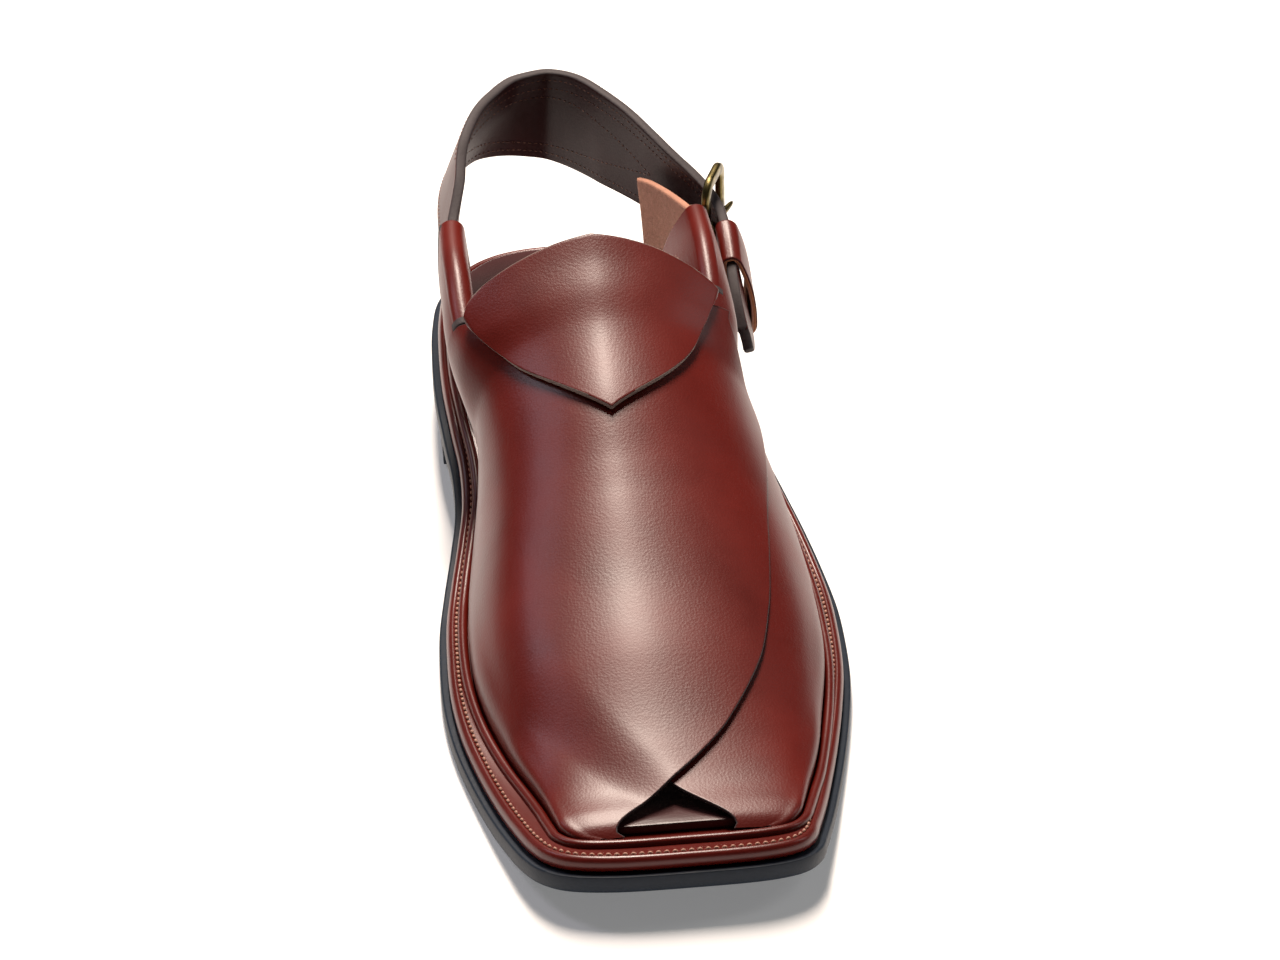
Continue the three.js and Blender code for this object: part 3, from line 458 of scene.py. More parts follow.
def on_last(s, along, turn, out):
    """The last's surface. turn goes over the foot in degrees, from the inner feather edge
    to the outer one. Each side is a quarter ellipse on a short upright wall, its middle
    swollen by a power of the sine of twice the angle; out lies outside it."""
    along, turn, out = (np.asarray(v, dtype=float) for v in np.broadcast_arrays(along, turn, out))
    at = along / s.sole_length
    angle = np.radians(turn)
    medial = turn <= 90
    sign = np.where(medial, -1.0, 1.0)
    crown = read(LAST, "at", "crown", at) * s.ball_width
    edge = np.where(medial, *(np.interp(along, side[:, 1], side[:, 0])
                              for side in two_sides(plan_ring(s, "last")))) - sign * s.leather
    swell = np.where(medial, *(read(LAST, "at", name, at) * s.ball_width
                               for name in ("medial_swell", "lateral_swell")))
    low = np.abs(np.cos(angle)) > math.sqrt(0.5)
    narrow = np.where(~medial & low, 5.0, 2.0)
    across = np.abs(edge - crown) + out
    sine = np.maximum(0, np.sin(angle))
    side = crown + sign * (across * np.abs(np.cos(angle))
                           + swell * np.abs(np.sin(2 * angle)) ** narrow)
    rise = read(LAST, "at", "rise", at) * s.instep_rise
    wall = np.minimum(SIDE_WALL, rise)
    height = (lift(s, along) + SEAT + wall * sine ** 0.2
              + (rise - wall + out) * sine ** read(LAST, "at", "peak", at))
    return place(along, side, height)


# Meshes
FAR_FROM_EDGE = 20 * MM


def grid_faces(rows, columns, start=0):
    """Quads of a grid of points."""
    a = (np.arange(rows - 1)[:, None] * columns + np.arange(columns - 1)[None, :]).ravel()
    return np.stack([a, a + 1, a + 1 + columns, a + columns], axis=1) + start


def merged(points, faces, *values):
    """Joins points that coincide, and drops faces that close up."""
    keys = np.round(points / (0.004 * MM)).astype(np.int64)
    _, first, back = np.unique(keys, axis=0, return_index=True, return_inverse=True)
    faces = back.reshape(-1)[faces]
    distinct = (faces[:, 0] != faces[:, 2]) & (faces[:, 1] != faces[:, 3])
    return (points[first], faces[distinct]) + tuple(v[first] for v in values)


def thickened(middle, outward, half, faces, rim, round_edge, skived):
    """A wall from its middle surface. Both skins lie half a thickness from it, drawn
    together on a quarter circle within round_edge of the cut edges, and a strip of quads
    closes each cut edge. Where it is skived, the wall thins to half from its inner side
    over that distance from the edge. Face kinds: 0 outer skin, 1 inner skin, 2 cut edge."""
    near = np.clip(rim / round_edge, 0, 1)
    shape = 0.45 + 0.55 * np.sqrt(np.maximum(0, 1 - (1 - near) ** 2))
    if skived:
        thin = 0.5 + 0.5 * smooth(rim / skived)
        middle = middle + outward * (half * (1 - thin))[:, None]
        half = half * thin
    offset = outward * (half * shape)[:, None]
    points = np.vstack([middle + offset, middle - offset])
    count = len(middle)
    edges = np.vstack([faces[:, [k, (k + 1) % 4]] for k in range(4)])
    edges = edges[edges[:, 0] != edges[:, 1]]
    keys = np.sort(edges, axis=1)
    _, index, times = np.unique(keys, axis=0, return_index=True, return_counts=True)
    open_edges = edges[index[times == 1]]
    strip = np.stack([open_edges[:, 1], open_edges[:, 0],
                      open_edges[:, 0] + count, open_edges[:, 1] + count], axis=1)
    cut = rim[faces].max(axis=1) < 0.8 * round_edge
    kinds = np.concatenate([np.where(cut, 2, 0), np.where(cut, 2, 1), np.full(len(strip), 2)])
    skins = np.vstack([faces, faces[:, ::-1] + count, strip])
    return points, skins, kinds, np.concatenate([rim, rim])


def grid_normals(points):
    """Unit normals of a grid, from the cross product of its two directions."""
    return unit(np.cross(np.gradient(points, axis=0), np.gradient(points, axis=1)))


def make_piece(name, points, faces, materials, nodes=(), kinds=None, rim=None, angle=40):
    """Puts arrays into a mesh, turns it outwards, and ties it to the frame.
    The rim attribute is the distance to the nearest cut edge, in millimetres, and large
    where a piece has no cut edge."""
    mesh = bpy.data.meshes.new(name)
    if not isinstance(faces, list):
        faces = [tuple(dict.fromkeys(face)) for face in faces.tolist()]
    mesh.from_pydata(points.tolist(), [], faces)
    for material in materials:
        mesh.materials.append(material)
    if kinds is not None:
        mesh.polygons.foreach_set("material_index", kinds.astype(np.int32))
    distance = np.full(len(mesh.vertices), FAR_FROM_EDGE) if rim is None else rim
    layer = mesh.attributes.new("rim", "FLOAT", "POINT")
    layer.data.foreach_set("value", (distance / MM).astype(np.float32))
    work = bmesh.new()
    work.from_mesh(mesh)
    bmesh.ops.recalc_face_normals(work, faces=work.faces)
    work.to_mesh(mesh)
    work.free()
    mesh.polygons.foreach_set("use_smooth", np.ones(len(mesh.polygons), dtype=bool))
    mesh.set_sharp_from_angle(angle=math.radians(angle))
    mesh.update()
    piece = bpy.data.objects.new(name, mesh)
    bpy.context.scene.collection.objects.link(piece)
    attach(piece, BODY)
    if nodes:
        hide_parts(*nodes)
    return piece


def ring_solid(loops):
    """A solid from outlines of equal length: quads between them, and each end closed by
    strips between the outline's two sides."""
    count = len(loops[0])
    points = np.vstack(loops)
    i = np.arange(count)
    j = (i + 1) % count
    sides = [np.stack([k * count + i, k * count + j, (k + 1) * count + j, (k + 1) * count + i],
                      axis=1) for k in range(len(loops) - 1)]
    a = np.arange(count // 2)
    mirror = (count - a) % count
    after = (count - a - 1) % count
    bottom = np.stack([mirror, after, a + 1, a], axis=1)
    top = bottom[:, ::-1] + (len(loops) - 1) * count
    return points, np.vstack(sides + [bottom, top])


def tube_quads(rings, sides, closed):
    """Quads round a tube of rings, and on to its first ring again where it is closed."""
    i = np.arange(rings if closed else rings - 1)[:, None]
    k = np.arange(sides)[None, :]
    n = (i + 1) % rings
    m = (k + 1) % sides
    quads = np.stack([i * sides + k, i * sides + m, n * sides + m, n * sides + k], axis=-1)
    return quads.reshape(-1, 4)


def tube(path, across, up, wide, tall, sides=16, closed=True, power=1.0):
    """A section carried along a path: an ellipse, squared where power is under 1."""
    a = 2 * math.pi * np.arange(sides) / sides
    c = np.sign(np.cos(a)) * np.abs(np.cos(a)) ** power
    r = np.sign(np.sin(a)) * np.abs(np.sin(a)) ** power
    wide = np.broadcast_to(wide, len(path))[:, None, None]
    tall = np.broadcast_to(tall, len(path))[:, None, None]
    points = (path[:, None, :] + across[:, None, :] * c[None, :, None] * wide
              + up[:, None, :] * r[None, :, None] * tall)
    faces = tube_quads(len(path), sides, closed).tolist()
    if not closed:
        end = np.arange(sides)
        faces += [end[::-1].tolist(), (end + (len(path) - 1) * sides).tolist()]
    return points.reshape(-1, 3), faces


def stitch_row(path, up, pitch, thread, share=0.72, sides=6):
    """Stitches along a path: each is a spindle, its radius a half ellipse along it, and its
    ends dip by the square of the distance from its middle."""
    length = run_length(path, 0)
    count = max(2, int(round(length[-1] / pitch)))
    centre = (np.arange(count) + 0.5) * length[-1] / count
    half = 0.5 * share * length[-1] / count
    stations = np.linspace(-1, 1, 7)
    at = centre[:, None] + half * stations[None, :]
    middle, lead = (np.stack([np.interp(at, length, values[:, k]) for k in range(3)], axis=-1)
                    for values in (path, up))
    heading = unit(np.gradient(middle, axis=1))
    across = unit(np.cross(heading, lead))
    lead = np.cross(across, heading)
    radius = thread * np.sqrt(np.maximum(0.02, 1 - stations ** 2))[None, :, None, None]
    a = 2 * math.pi * np.arange(sides) / sides
    ring = (across[:, :, None, :] * np.cos(a)[None, None, :, None]
            + lead[:, :, None, :] * np.sin(a)[None, None, :, None] * 0.8)
    dip = (thread * 0.7 * stations ** 2)[None, :, None, None] * lead[:, :, None, :]
    points = middle[:, :, None, :] + ring * radius - dip
    first = np.arange(count)[:, None] * points[0, ..., 0].size
    end = np.arange(sides)
    quads = tube_quads(len(stations), sides, False)
    faces = (first[:, None] + quads).reshape(-1, 4).tolist()
    faces += (first + end[::-1]).tolist() + (first + (len(stations) - 1) * sides + end).tolist()
    return points.reshape(-1, 3), faces


def joined(parts):
    """Several sets of points and faces as one."""
    starts = np.cumsum([0] + [len(points) for points, _ in parts]).tolist()
    faces = [[v + start for v in face] for (_, some), start in zip(parts, starts) for face in some]
    return np.vstack([points for points, _ in parts]), faces


# Shader nodes
def wire(tree, node, inputs):
    """Gives each named input its value, or the output that feeds it."""
    for key, value in inputs.items():
        if isinstance(value, bpy.types.NodeSocket):
            tree.links.new(value, node.inputs[key])
        else:
            node.inputs[key].default_value = value


def add_node(tree, kind, inputs, **settings):
    """A node with its settings and its inputs."""
    node = tree.nodes.new(kind)
    for key, value in settings.items():
        setattr(node, key, value)
    wire(tree, node, inputs)
    return node


def noise(tree, vector, scale, detail, roughness=0.5, output="Fac"):
    """A noise's output."""
    return add_node(tree, "ShaderNodeTexNoise", {
        "Vector": vector, "Scale": scale, "Detail": detail, "Roughness": roughness,
    }).outputs[output]


def arithmetic(tree, operation, first, second):
    """The result of one sum."""
    node = add_node(tree, "ShaderNodeMath", {0: first, 1: second}, operation=operation)
    return node.outputs["Value"]


def spread(tree, value, low, high, to_low=0.0, to_high=1.0, kind="LINEAR"):
    """A value between two limits carried to two others."""
    return add_node(tree, "ShaderNodeMapRange", {
        "Value": value, "From Min": low, "From Max": high, "To Min": to_low, "To Max": to_high,
    }, interpolation_type=kind).outputs["Result"]


def tinted(tree, mask, first, second):
    """A colour between two by a mask. Each is a colour or an output."""
    ends = [end if isinstance(end, bpy.types.NodeSocket) else (*end, 1) for end in (first, second)]
    node = add_node(tree, "ShaderNodeMix", {"Factor": mask, "A": ends[0], "B": ends[1]},
                    data_type="RGBA")
    return node.outputs["Result"]


def scaled(colour, factor):
    """A colour made darker or lighter."""
    return tuple(min(1.0, c * factor) for c in colour)


def bump_from(tree, height, depth, strength):
    """The normal of a bump of a real depth."""
    return add_node(tree, "ShaderNodeBump", {
        "Height": height, "Distance": depth, "Strength": strength}).outputs["Normal"]


def once(store):
    """Lets a function make its material or node group the first time only. Later calls
    find it by its name in Blender's own list, which store names."""
    def keep(make):
        @functools.wraps(make)
        def find(name, *values, **settings):
            return getattr(bpy.data, store).get(name) or make(name, *values, **settings)
        return find
    return keep


def new_group(name, values, outputs):
    """An empty node group with a vector, named values and named outputs."""
    tree = bpy.data.node_groups.new(name, "ShaderNodeTree")
    tree.interface.new_socket("Vector", in_out="INPUT", socket_type="NodeSocketVector")
    for label, value in values.items():
        socket = tree.interface.new_socket(label, in_out="INPUT", socket_type="NodeSocketFloat")
        socket.default_value = value
    for label in outputs:
        tree.interface.new_socket(label, in_out="OUTPUT", socket_type="NodeSocketFloat")
    return tree, tree.nodes.new("NodeGroupInput").outputs, tree.nodes.new("NodeGroupOutput")


@once("node_groups")
def grain_group(name):
    """Rounded cells blended with fine pores, both stretched by a slow noise, as a height,
    and a slow mottling."""
    tree, given, out = new_group(name, {"Scale": 1400.0, "Fine": 0.35}, ("Height", "Mottle"))
    bend = noise(tree, given["Vector"], 90.0, 2.0, output="Color")
    shift = add_node(tree, "ShaderNodeVectorMath", {0: bend, "Scale": 0.0016}, operation="SCALE")
    moved = add_node(tree, "ShaderNodeVectorMath", {
        0: given["Vector"], 1: shift.outputs["Vector"]}, operation="ADD").outputs["Vector"]
    cells = add_node(tree, "ShaderNodeTexVoronoi", {
        "Vector": moved, "Scale": given["Scale"], "Smoothness": 0.5}, feature="SMOOTH_F1")
    pores = noise(tree, moved, arithmetic(tree, "MULTIPLY", given["Scale"], 2.7), 3.0)
    height = add_node(tree, "ShaderNodeMix", {
        "Factor": given["Fine"], "A": cells.outputs["Distance"], "B": pores}, data_type="FLOAT")
    mottle = noise(tree, given["Vector"], 26.0, 4.0, 0.62)
    wire(tree, out, {"Height": height.outputs["Result"], "Mottle": mottle})
    return tree


@once("node_groups")
def wear_group(name):
    """1 at a cut edge, fading over Width millimetres, broken up by noise."""
    tree, given, out = new_group(name, {"Distance": 10.0, "Width": 2.0}, ("Mask",))
    share = arithmetic(tree, "DIVIDE", given["Distance"], given["Width"])
    ragged = arithmetic(tree, "ADD", share, noise(tree, given["Vector"], 140.0, 3.0))
    wire(tree, out, {"Mask": spread(tree, ragged, 0.5, 1.5, 1.0, 0.0, "SMOOTHSTEP")})
    return tree


@once("node_groups")
def dust_group(name):
    """A sparse noise mask."""
    tree, given, out = new_group(name, {"Amount": 0.2}, ("Mask",))
    speck = spread(tree, noise(tree, given["Vector"], 420.0, 5.0, 0.7), 0.52, 0.78)
    wire(tree, out, {"Mask": arithmetic(tree, "MULTIPLY", speck, given["Amount"])})
    return tree


def use_group(tree, group, inputs):
    """The outputs of a node group placed in a material with its own inputs."""
    return add_node(tree, "ShaderNodeGroup", inputs, node_tree=group).outputs


def blank_material(name):
    """A material with only its output and a Principled shader, and its Object coordinates."""
    material = bpy.data.materials.new(name)
    material.use_nodes = True
    tree = material.node_tree
    tree.nodes.clear()
    shader = tree.nodes.new("ShaderNodeBsdfPrincipled")
    add_node(tree, "ShaderNodeOutputMaterial", {"Surface": shader.outputs["BSDF"]})
    return material, tree, shader, tree.nodes.new("ShaderNodeTexCoord").outputs["Object"]


@once("materials")
def leather_material(name, colour, roughness, coat, scale=1500.0, depth=0.00014, worn=0.4):
    """Dyed leather: slow mottling, darker burnished edges, fine grain and a thin polish."""
    material, tree, shader, vector = blank_material(name)
    grain = use_group(tree, grain_group("Leather grain"), {
        "Vector": vector, "Scale": scale, "Fine": 0.4})
    distance = add_node(tree, "ShaderNodeAttribute", {}, attribute_name="rim")
    edge = use_group(tree, wear_group("Edge wear"), {
        "Vector": vector, "Distance": distance.outputs["Fac"], "Width": 0.8})
    mottled = tinted(tree, spread(tree, grain["Mottle"], 0.3, 0.7),
                     scaled(colour, 0.78), scaled(colour, 1.22))
    wire(tree, shader, {
        "Base Color": tinted(tree, edge["Mask"], mottled, scaled(colour, worn)),
        "Roughness": spread(tree, grain["Mottle"], 0.2, 0.8, roughness - 0.05, roughness + 0.07),
        "Specular IOR Level": 0.3,
        "Coat Weight": coat,
        "Coat Roughness": 0.26,
        "Normal": bump_from(tree, grain["Height"], depth, 0.4),
    })
    return material


@once("materials")
def flesh_material(name, colour, roughness=0.85):
    """Fibrous flesh side or cut edge: a fine rough noise under pale dust."""
    material, tree, shader, vector = blank_material(name)
    fibre = noise(tree, vector, 900.0, 6.0, 0.7)
    dust = use_group(tree, dust_group("Fine dust"), {"Vector": vector, "Amount": 0.35})
    tone = tinted(tree, fibre, scaled(colour, 0.6), scaled(colour, 1.35))
    wire(tree, shader, {
        "Base Color": tinted(tree, dust["Mask"], tone, scaled(colour, 1.8)),
        "Roughness": roughness,
        "Normal": bump_from(tree, fibre, 0.00025, 0.5),
    })
    return material


@once("materials")
def rubber_material(name, colour):
    """Moulded rubber: faint dust on a near-black base, with a fine matte texture."""
    material, tree, shader, vector = blank_material(name)
    dust = use_group(tree, dust_group("Fine dust"), {"Vector": vector, "Amount": 0.15})
    wire(tree, shader, {
        "Base Color": tinted(tree, dust["Mask"], colour, scaled(colour, 4.0)),
        "Roughness": 0.5,
        "Specular IOR Level": 0.3,
        "Normal": bump_from(tree, noise(tree, vector, 700.0, 4.0), 0.0002, 0.35),
    })
    return material


@once("materials")
def thread_material(name, colour):
    """Waxed thread: fine twist marks and a soft sheen."""
    material, tree, shader, vector = blank_material(name)
    twist = noise(tree, vector, 2600.0, 2.0)
    wire(tree, shader, {
        "Base Color": tinted(tree, twist, scaled(colour, 0.6), scaled(colour, 1.35)),
        "Roughness": 0.6,
        "Normal": bump_from(tree, twist, 0.0001, 0.5),
    })
    return material


@once("materials")
def brass_material(name, colour):
    """Antique brass: dark patina in a slow noise, bright and smooth where it is rubbed."""
    material, tree, shader, vector = blank_material(name)
    patina = noise(tree, vector, 210.0, 5.0)
    rubbed = spread(tree, patina, 0.38, 0.64)
    wire(tree, shader, {
        "Base Color": tinted(tree, rubbed, scaled(colour, 0.38), scaled(colour, 1.5)),
        "Metallic": 1.0,
        "Roughness": spread(tree, rubbed, 0.0, 1.0, 0.42, 0.24),
        "Normal": bump_from(tree, patina, 0.0001, 0.25),
    })
    return material


def upper_leather(s):
    """Grain side of the panels, the tongue and the keeper."""
    return leather_material("Upper leather", s.leather_colour, 0.4, 0.16)


def cut_edge(s):
    """Dark cut edge of the dyed leather."""
    return flesh_material("Dyed cut edge", s.edge_colour, 0.7)


def flesh_side(s):
    """Undyed inner side of the tab, the keeper and the loops."""
    return flesh_material("Flesh side", s.flesh_colour)


def lining_leather(s):
    """Dark lining of the panels and the strap."""
    return leather_material("Lining leather", s.lining_colour, 0.5, 0.1, worn=0.6)


# Sheets of leather
def sheet_piece(name, patches, thickness, materials, slot, round_edge=FINE_END, skived=0.0):
    """One wall from patches of middle surface. Each patch is its points, its outward
    normals, its distances to the cut edges and a tag. A cut edge of tag 1 takes the fourth
    material, and an outer face of tag 2 takes the dark colour of a cut edge."""
    starts = np.cumsum([0] + [patch[2].size for patch in patches])
    faces = np.vstack([grid_faces(*patch[2].shape, start)
                       for patch, start in zip(patches, starts)])
    points, normals = (np.vstack([patch[k].reshape(-1, 3) for patch in patches])
                       for k in (0, 1))
    rims, tags = (np.concatenate([np.broadcast_to(patch[k], patch[2].shape).ravel()
                                  for patch in patches]) for k in (2, 3))
    points, faces, normals, rims, tags = merged(points, faces, normals, rims, tags)
    points, faces, kinds, rims = thickened(
        points, unit(normals), thickness / 2, faces, rims, round_edge, skived)
    highest = np.concatenate([tags, tags])[faces].max(axis=1)
    kinds = np.where((kinds == 0) & (highest > 1.5), 2, kinds)
    if len(materials) > 3:
        kinds = np.where((kinds == 2) & (highest == 1.0), 3, kinds)
    return make_piece(name, points, faces, materials, (slot,), kinds, rims, 50)


def facing(normals, towards):
    """Normals turned so that most of them point the way that towards does."""
    return normals if np.sum(normals * towards) > 0 else -normals


def over_under(s, along, turn):
    """How far the top panel has climbed onto the one under it: eased over 38 degrees, of
    which 30 lie before that panel's free edge."""
    at = along / s.sole_length
    under = read(FREE_EDGE, "at", "under", at)
    behind = smooth((at - 0.366) / 0.034)
    side = mix(behind, 1, smooth((turn - 60) / 40))
    return side * smooth((turn - under + 30) / 38)


def feather_roll(s, along, turn, lateral):
    """The soft roll where a panel turns down into the welt: a bell 10 degrees up, gathered
    a little along the sole."""
    from_feather = 180 - turn if lateral else turn
    bell = np.exp(-((from_feather - 10) / 8) ** 2)
    gather = 0.75 + 0.25 * np.sin(along / (7.3 * MM) + 1.3 * np.sin(along / (19 * MM)))
    forward = smooth((along / s.sole_length - 0.45) / 0.3)
    return 0.9 * MM * bell * gather * (0.35 + 0.65 * forward)


def vamp_patch(s, edge, back, lateral):
    """A panel from the toe to its back edge. Rows run along the sole, columns from the
    feather edge to the free edge; the turn is the column's share of the free edge's turn."""
    free = FREE_EDGE[edge][0]
    loop = LATERAL_LOOP if lateral else MEDIAL_LOOP
    span = 180 - free if lateral else free
    slit = loop["front"] / span
    low = LOW_OVER[edge]
    beyond = with_fine_ends(74, FINE_END / (90 * MM), low=False)
    over = np.concatenate([
        np.linspace(0, low, LOW_COLUMNS + 1)[:-1], mix(low, slit, WALL_SHARES),
        mix(slit, 1, beyond)[1:]])
    rows = with_fine_ends(150, FINE_END / (160 * MM), low=False)
    u, v = np.meshgrid(rows, over, indexing="ij")
    at = mix(TOE_AT, read(back, "over", "at", v), u)
    turned = read(FREE_EDGE, "at", edge, at)
    turn = mix(180, turned, v) if lateral else v * turned
    along = at * s.sole_length
    ride = np.zeros_like(at) if lateral else over_under(s, along, turn)
    out = s.leather * (0.5 + ride) + feather_roll(s, along, turn, lateral)
    points = on_last(s, along, turn, out)
    inside = np.stack([np.zeros_like(at), points[..., 1], np.full_like(at, SEAT)], axis=-1)
    normals = facing(grid_normals(points), points - inside)
    across = run_length(points, 1)
    behind = run_length(points, 0)
    to_back = behind[-1:] - behind
    to_free = across[:, -1:] - across
    first = LOW_COLUMNS
    last = first + len(WALL_SHARES) - 1
    to_slit = np.minimum(np.abs(across - across[:, first:first + 1]),
                         np.abs(across - across[:, last:last + 1]))
    held = (v > over[first]) & (v < over[last])
    # A strip along the back edge below the slit takes the dark cut-edge colour on its outer face.
    dark_strip = (v < over[first]) & (to_back < DARK_STRIP_WIDTH)
    to_back = np.where(held, np.hypot(to_back, to_slit), to_back)
    return points, normals, np.minimum(to_back, to_free), np.where(dark_strip, 2.0, 0.0)


def fold_at(s, along, loop):
    """Centre of a loop's fold: an arc on the wall's inner face, in the wall's direction."""
    high = mix(loop["front"], loop["rear"],
               (loop["end"] - along / s.sole_length) / (loop["end"] - loop["start"]))
    turn = high if loop["medial"] else 180 - high
    step = 3.0 if loop["medial"] else -3.0
    foot = on_last(s, along, turn, 0)
    rising = foot - on_last(s, along, turn - step, 0)
    rising[..., 1] = 0
    rising = unit(rising)
    inward = np.stack([rising[..., 2], np.zeros_like(along), -rising[..., 0]], axis=-1)
    inward = inward * (1 if loop["medial"] else -1)
    centre = foot + inward * (loop["held"] / 2 + GAP)
    return centre, rising, inward, high


def flap_length(loop, t):
    """The inner flap's length: even on the inner side, a half-round D on the outer one."""
    if loop["medial"]:
        return np.full_like(t, EVEN_FLAP)
    return D_FLAP * (0.25 + 0.75 * np.sqrt(np.maximum(0, np.sin(math.pi * t))))


def loop_patch(s, loop, joint_low):
    """A side wall behind the vamp and its loop: up the last's surface, over on an arc that
    fits what it holds, and down a straight flap that leans inwards."""
    rows = with_fine_ends(44, FINE_END / (43 * MM))
    at = mix(loop["end"], loop["start"], rows)
    along = at * s.sole_length
    side = "medial" if loop["medial"] else "lateral"
    low = read(WALL_BACK, "at", side, at)
    low = low + (joint_low - low[0]) * smooth(1 - 3 * rows)
    centre, rising, inward, high = fold_at(s, along, loop)
    turn = mix(low[:, None], high[:, None], WALL_SHARES[None, :])
    turn = turn if loop["medial"] else 180 - turn
    wall = on_last(s, along[:, None], turn, s.leather / 2)
    hang = unit(np.array([(1 if loop["medial"] else -1) * loop["flare"], 0, -1.0]))
    sweep = np.arccos(np.clip(rising @ hang, -1, 1))
    a = sweep[:, None] * np.linspace(0, 1, FOLD_COLUMNS + 1)[None, 1:]
    radius = loop["held"] / 2 + GAP + s.leather / 2
    arc = (centre[:, None, :] - inward[:, None, :] * (radius * np.cos(a))[..., None]
           + rising[:, None, :] * (radius * np.sin(a))[..., None])
    reach = flap_length(loop, rows)[:, None] * with_fine_ends(12, 0.05, low=False)[None, 1:]
    flap = arc[:, -1:, :] + hang * reach[..., None]
    points = np.concatenate([wall, arc, flap], axis=1)
    outside = np.zeros_like(points)
    outside[:, :len(WALL_SHARES), 0] = -1 if loop["medial"] else 1
    normals = facing(grid_normals(points), outside)
    across = run_length(points, 1)
    behind = run_length(points, 0)
    top = len(WALL_SHARES) - 1
    to_top = np.maximum(0, across[:, top:top + 1] - across)
    rim = np.minimum(from_ends(points, 1), behind[-1:] - behind)
    rim = np.minimum(rim, np.hypot(behind, to_top))
    tag = np.zeros(points.shape[:2])
    tag[:, top + PALE_FROM:] = 1.0
    # Strips along the wall's foot and its front end take the dark cut-edge colour on the outer
    # face.
    tag[across < DARK_STRIP_WIDTH] = 2.0
    tag[(to_top <= 0) & (behind < 0.5 * DARK_STRIP_WIDTH)] = 2.0
    return points, normals, rim, tag


def between(grid, row, column):
    """Points inside a grid, blended from the four around each place."""
    r = np.clip(np.floor(row).astype(int), 0, grid.shape[0] - 2)
    c = np.clip(np.floor(column).astype(int), 0, grid.shape[1] - 2)
    v = (row - r)[:, None]
    u = (column - c)[:, None]
    near = grid[r, c] * (1 - u) + grid[r, c + 1] * u
    far = grid[r + 1, c] * (1 - u) + grid[r + 1, c + 1] * u
    return near * (1 - v) + far * v


def stitches_on(patch, row, column, off, pitch, thread):
    """Stitches along a line of places in a patch's grid, off its middle surface. They lie
    on its inner side where off is negative."""
    lead = unit(between(patch[1], row, column)) * math.copysign(1, off)
    return stitch_row(between(patch[0], row, column) + lead * abs(off), lead, pitch, thread)


def flap_stitches(s, patch):
    """The oval of stitches that holds the outer loop's flap down: rows and columns of the
    flap's grid vary with the cosine and sine of one angle."""
    rows, columns = patch[2].shape
    a = np.linspace(0, 2 * math.pi, 60)
    where, faces = stitches_on(patch, rows * (0.5 + 0.17 * np.cos(a)),
                               columns - 7.5 + 3.4 * np.sin(a),
                               s.leather / 2, s.stitch, FLAP_THREAD)
    thread = thread_material("Waxed thread", s.thread_colour)
    make_piece("loop_stitches", where, faces, [thread])


def build_upper(s):
    """The two crossing panels, each going on behind the vamp as a side wall and a loop."""
    materials = [upper_leather(s), lining_leather(s), cut_edge(s), flesh_side(s)]
    for name, edge, back, loop in (
            ("under_panel", "under", UNDER_BACK, LATERAL_LOOP),
            ("top_panel", "top", TOP_BACK, MEDIAL_LOOP)):
        lateral = not loop["medial"]
        span = 180 - FREE_EDGE[edge][0] if lateral else FREE_EDGE[edge][0]
        patches = [vamp_patch(s, edge, back, lateral),
                   loop_patch(s, loop, LOW_OVER[edge] * span)]
        sheet_piece(name, patches, s.leather, materials, "upper", 0.45 * MM, PANEL_SKIVE)
        if lateral:
            flap_stitches(s, patches[1])


def build_tongue(s):
    """The instep tongue: its rows run over the foot, its columns from its back edge to its
    front edge."""
    turn = np.linspace(TONGUE["turn"][0], TONGUE["turn"][-1], 110)
    back, front = (read(TONGUE, "turn", edge, turn)[:, None] * s.sole_length
                   for edge in ("back", "front"))
    along = mix(back, front, with_fine_ends(50, 0.02))
    out = 2 * s.leather + TONGUE_GAP + TONGUE_THICK / 2
    points = on_last(s, along, turn[:, None], out)
    normals = facing(grid_normals(points), np.array([0.0, 0.0, 1.0]))
    rim = np.minimum(from_ends(points, 0), from_ends(points, 1))
    edge = flesh_material("Tongue cut edge", (0.16, 0.115, 0.1), 0.8)
    sheet_piece("tongue", [(points, normals, rim, 0.0)], TONGUE_THICK,
                [upper_leather(s), lining_leather(s), edge], "instep_tongue")


# Bands: the strap and the tab
def band_rows(s, rows, steps):
    """Top and bottom edges of a band from its table. Each edge lies off the middle line by
    half the lean, square to the heading, and by the rake that the top edge's slope gives."""
    count = len(rows["at"])
    indexed = dict(rows, index=np.arange(count, dtype=float))
    index = np.arange((count - 1) * steps + 1) / steps
    side, at, high, low, lean = (read(indexed, "index", name, index)
                                 for name in ("side", "at", "top", "bottom", "lean"))
    centre = np.stack([side * s.ball_width, at * s.sole_length], axis=1)
    change = np.gradient(centre, axis=0)
    run = np.linalg.norm(change, axis=1)
    heading = change / run[:, None]
    outward = np.stack([heading[:, 1], -heading[:, 0]], axis=1)
    tall = (high - low) * s.strap_height
    shift = (lean * s.strap_height / 2)[:, None] * outward
    rake = (0.5 * tall * np.gradient(high) * s.strap_height / run)[:, None] * heading
    top = centre - shift + rake
    bottom = centre + shift - rake
    return (place(top[:, 1], top[:, 0], high * s.strap_height),
            place(bottom[:, 1], bottom[:, 0], low * s.strap_height))


def held_rows(s, loop):
    """The stretch of a band that a loop holds: upright, narrower towards its end."""
    t = np.linspace(0, 1, 5)
    along = mix(loop["end"] - 0.02, loop["start"], t) * s.sole_length
    top = fold_at(s, along, loop)[0] + np.array([0, 0, loop["held"] / 2 - GAP])
    return top, top - np.array([0, 0, 1.0]) * mix(HELD_END, HELD_TALL, t)[:, None]


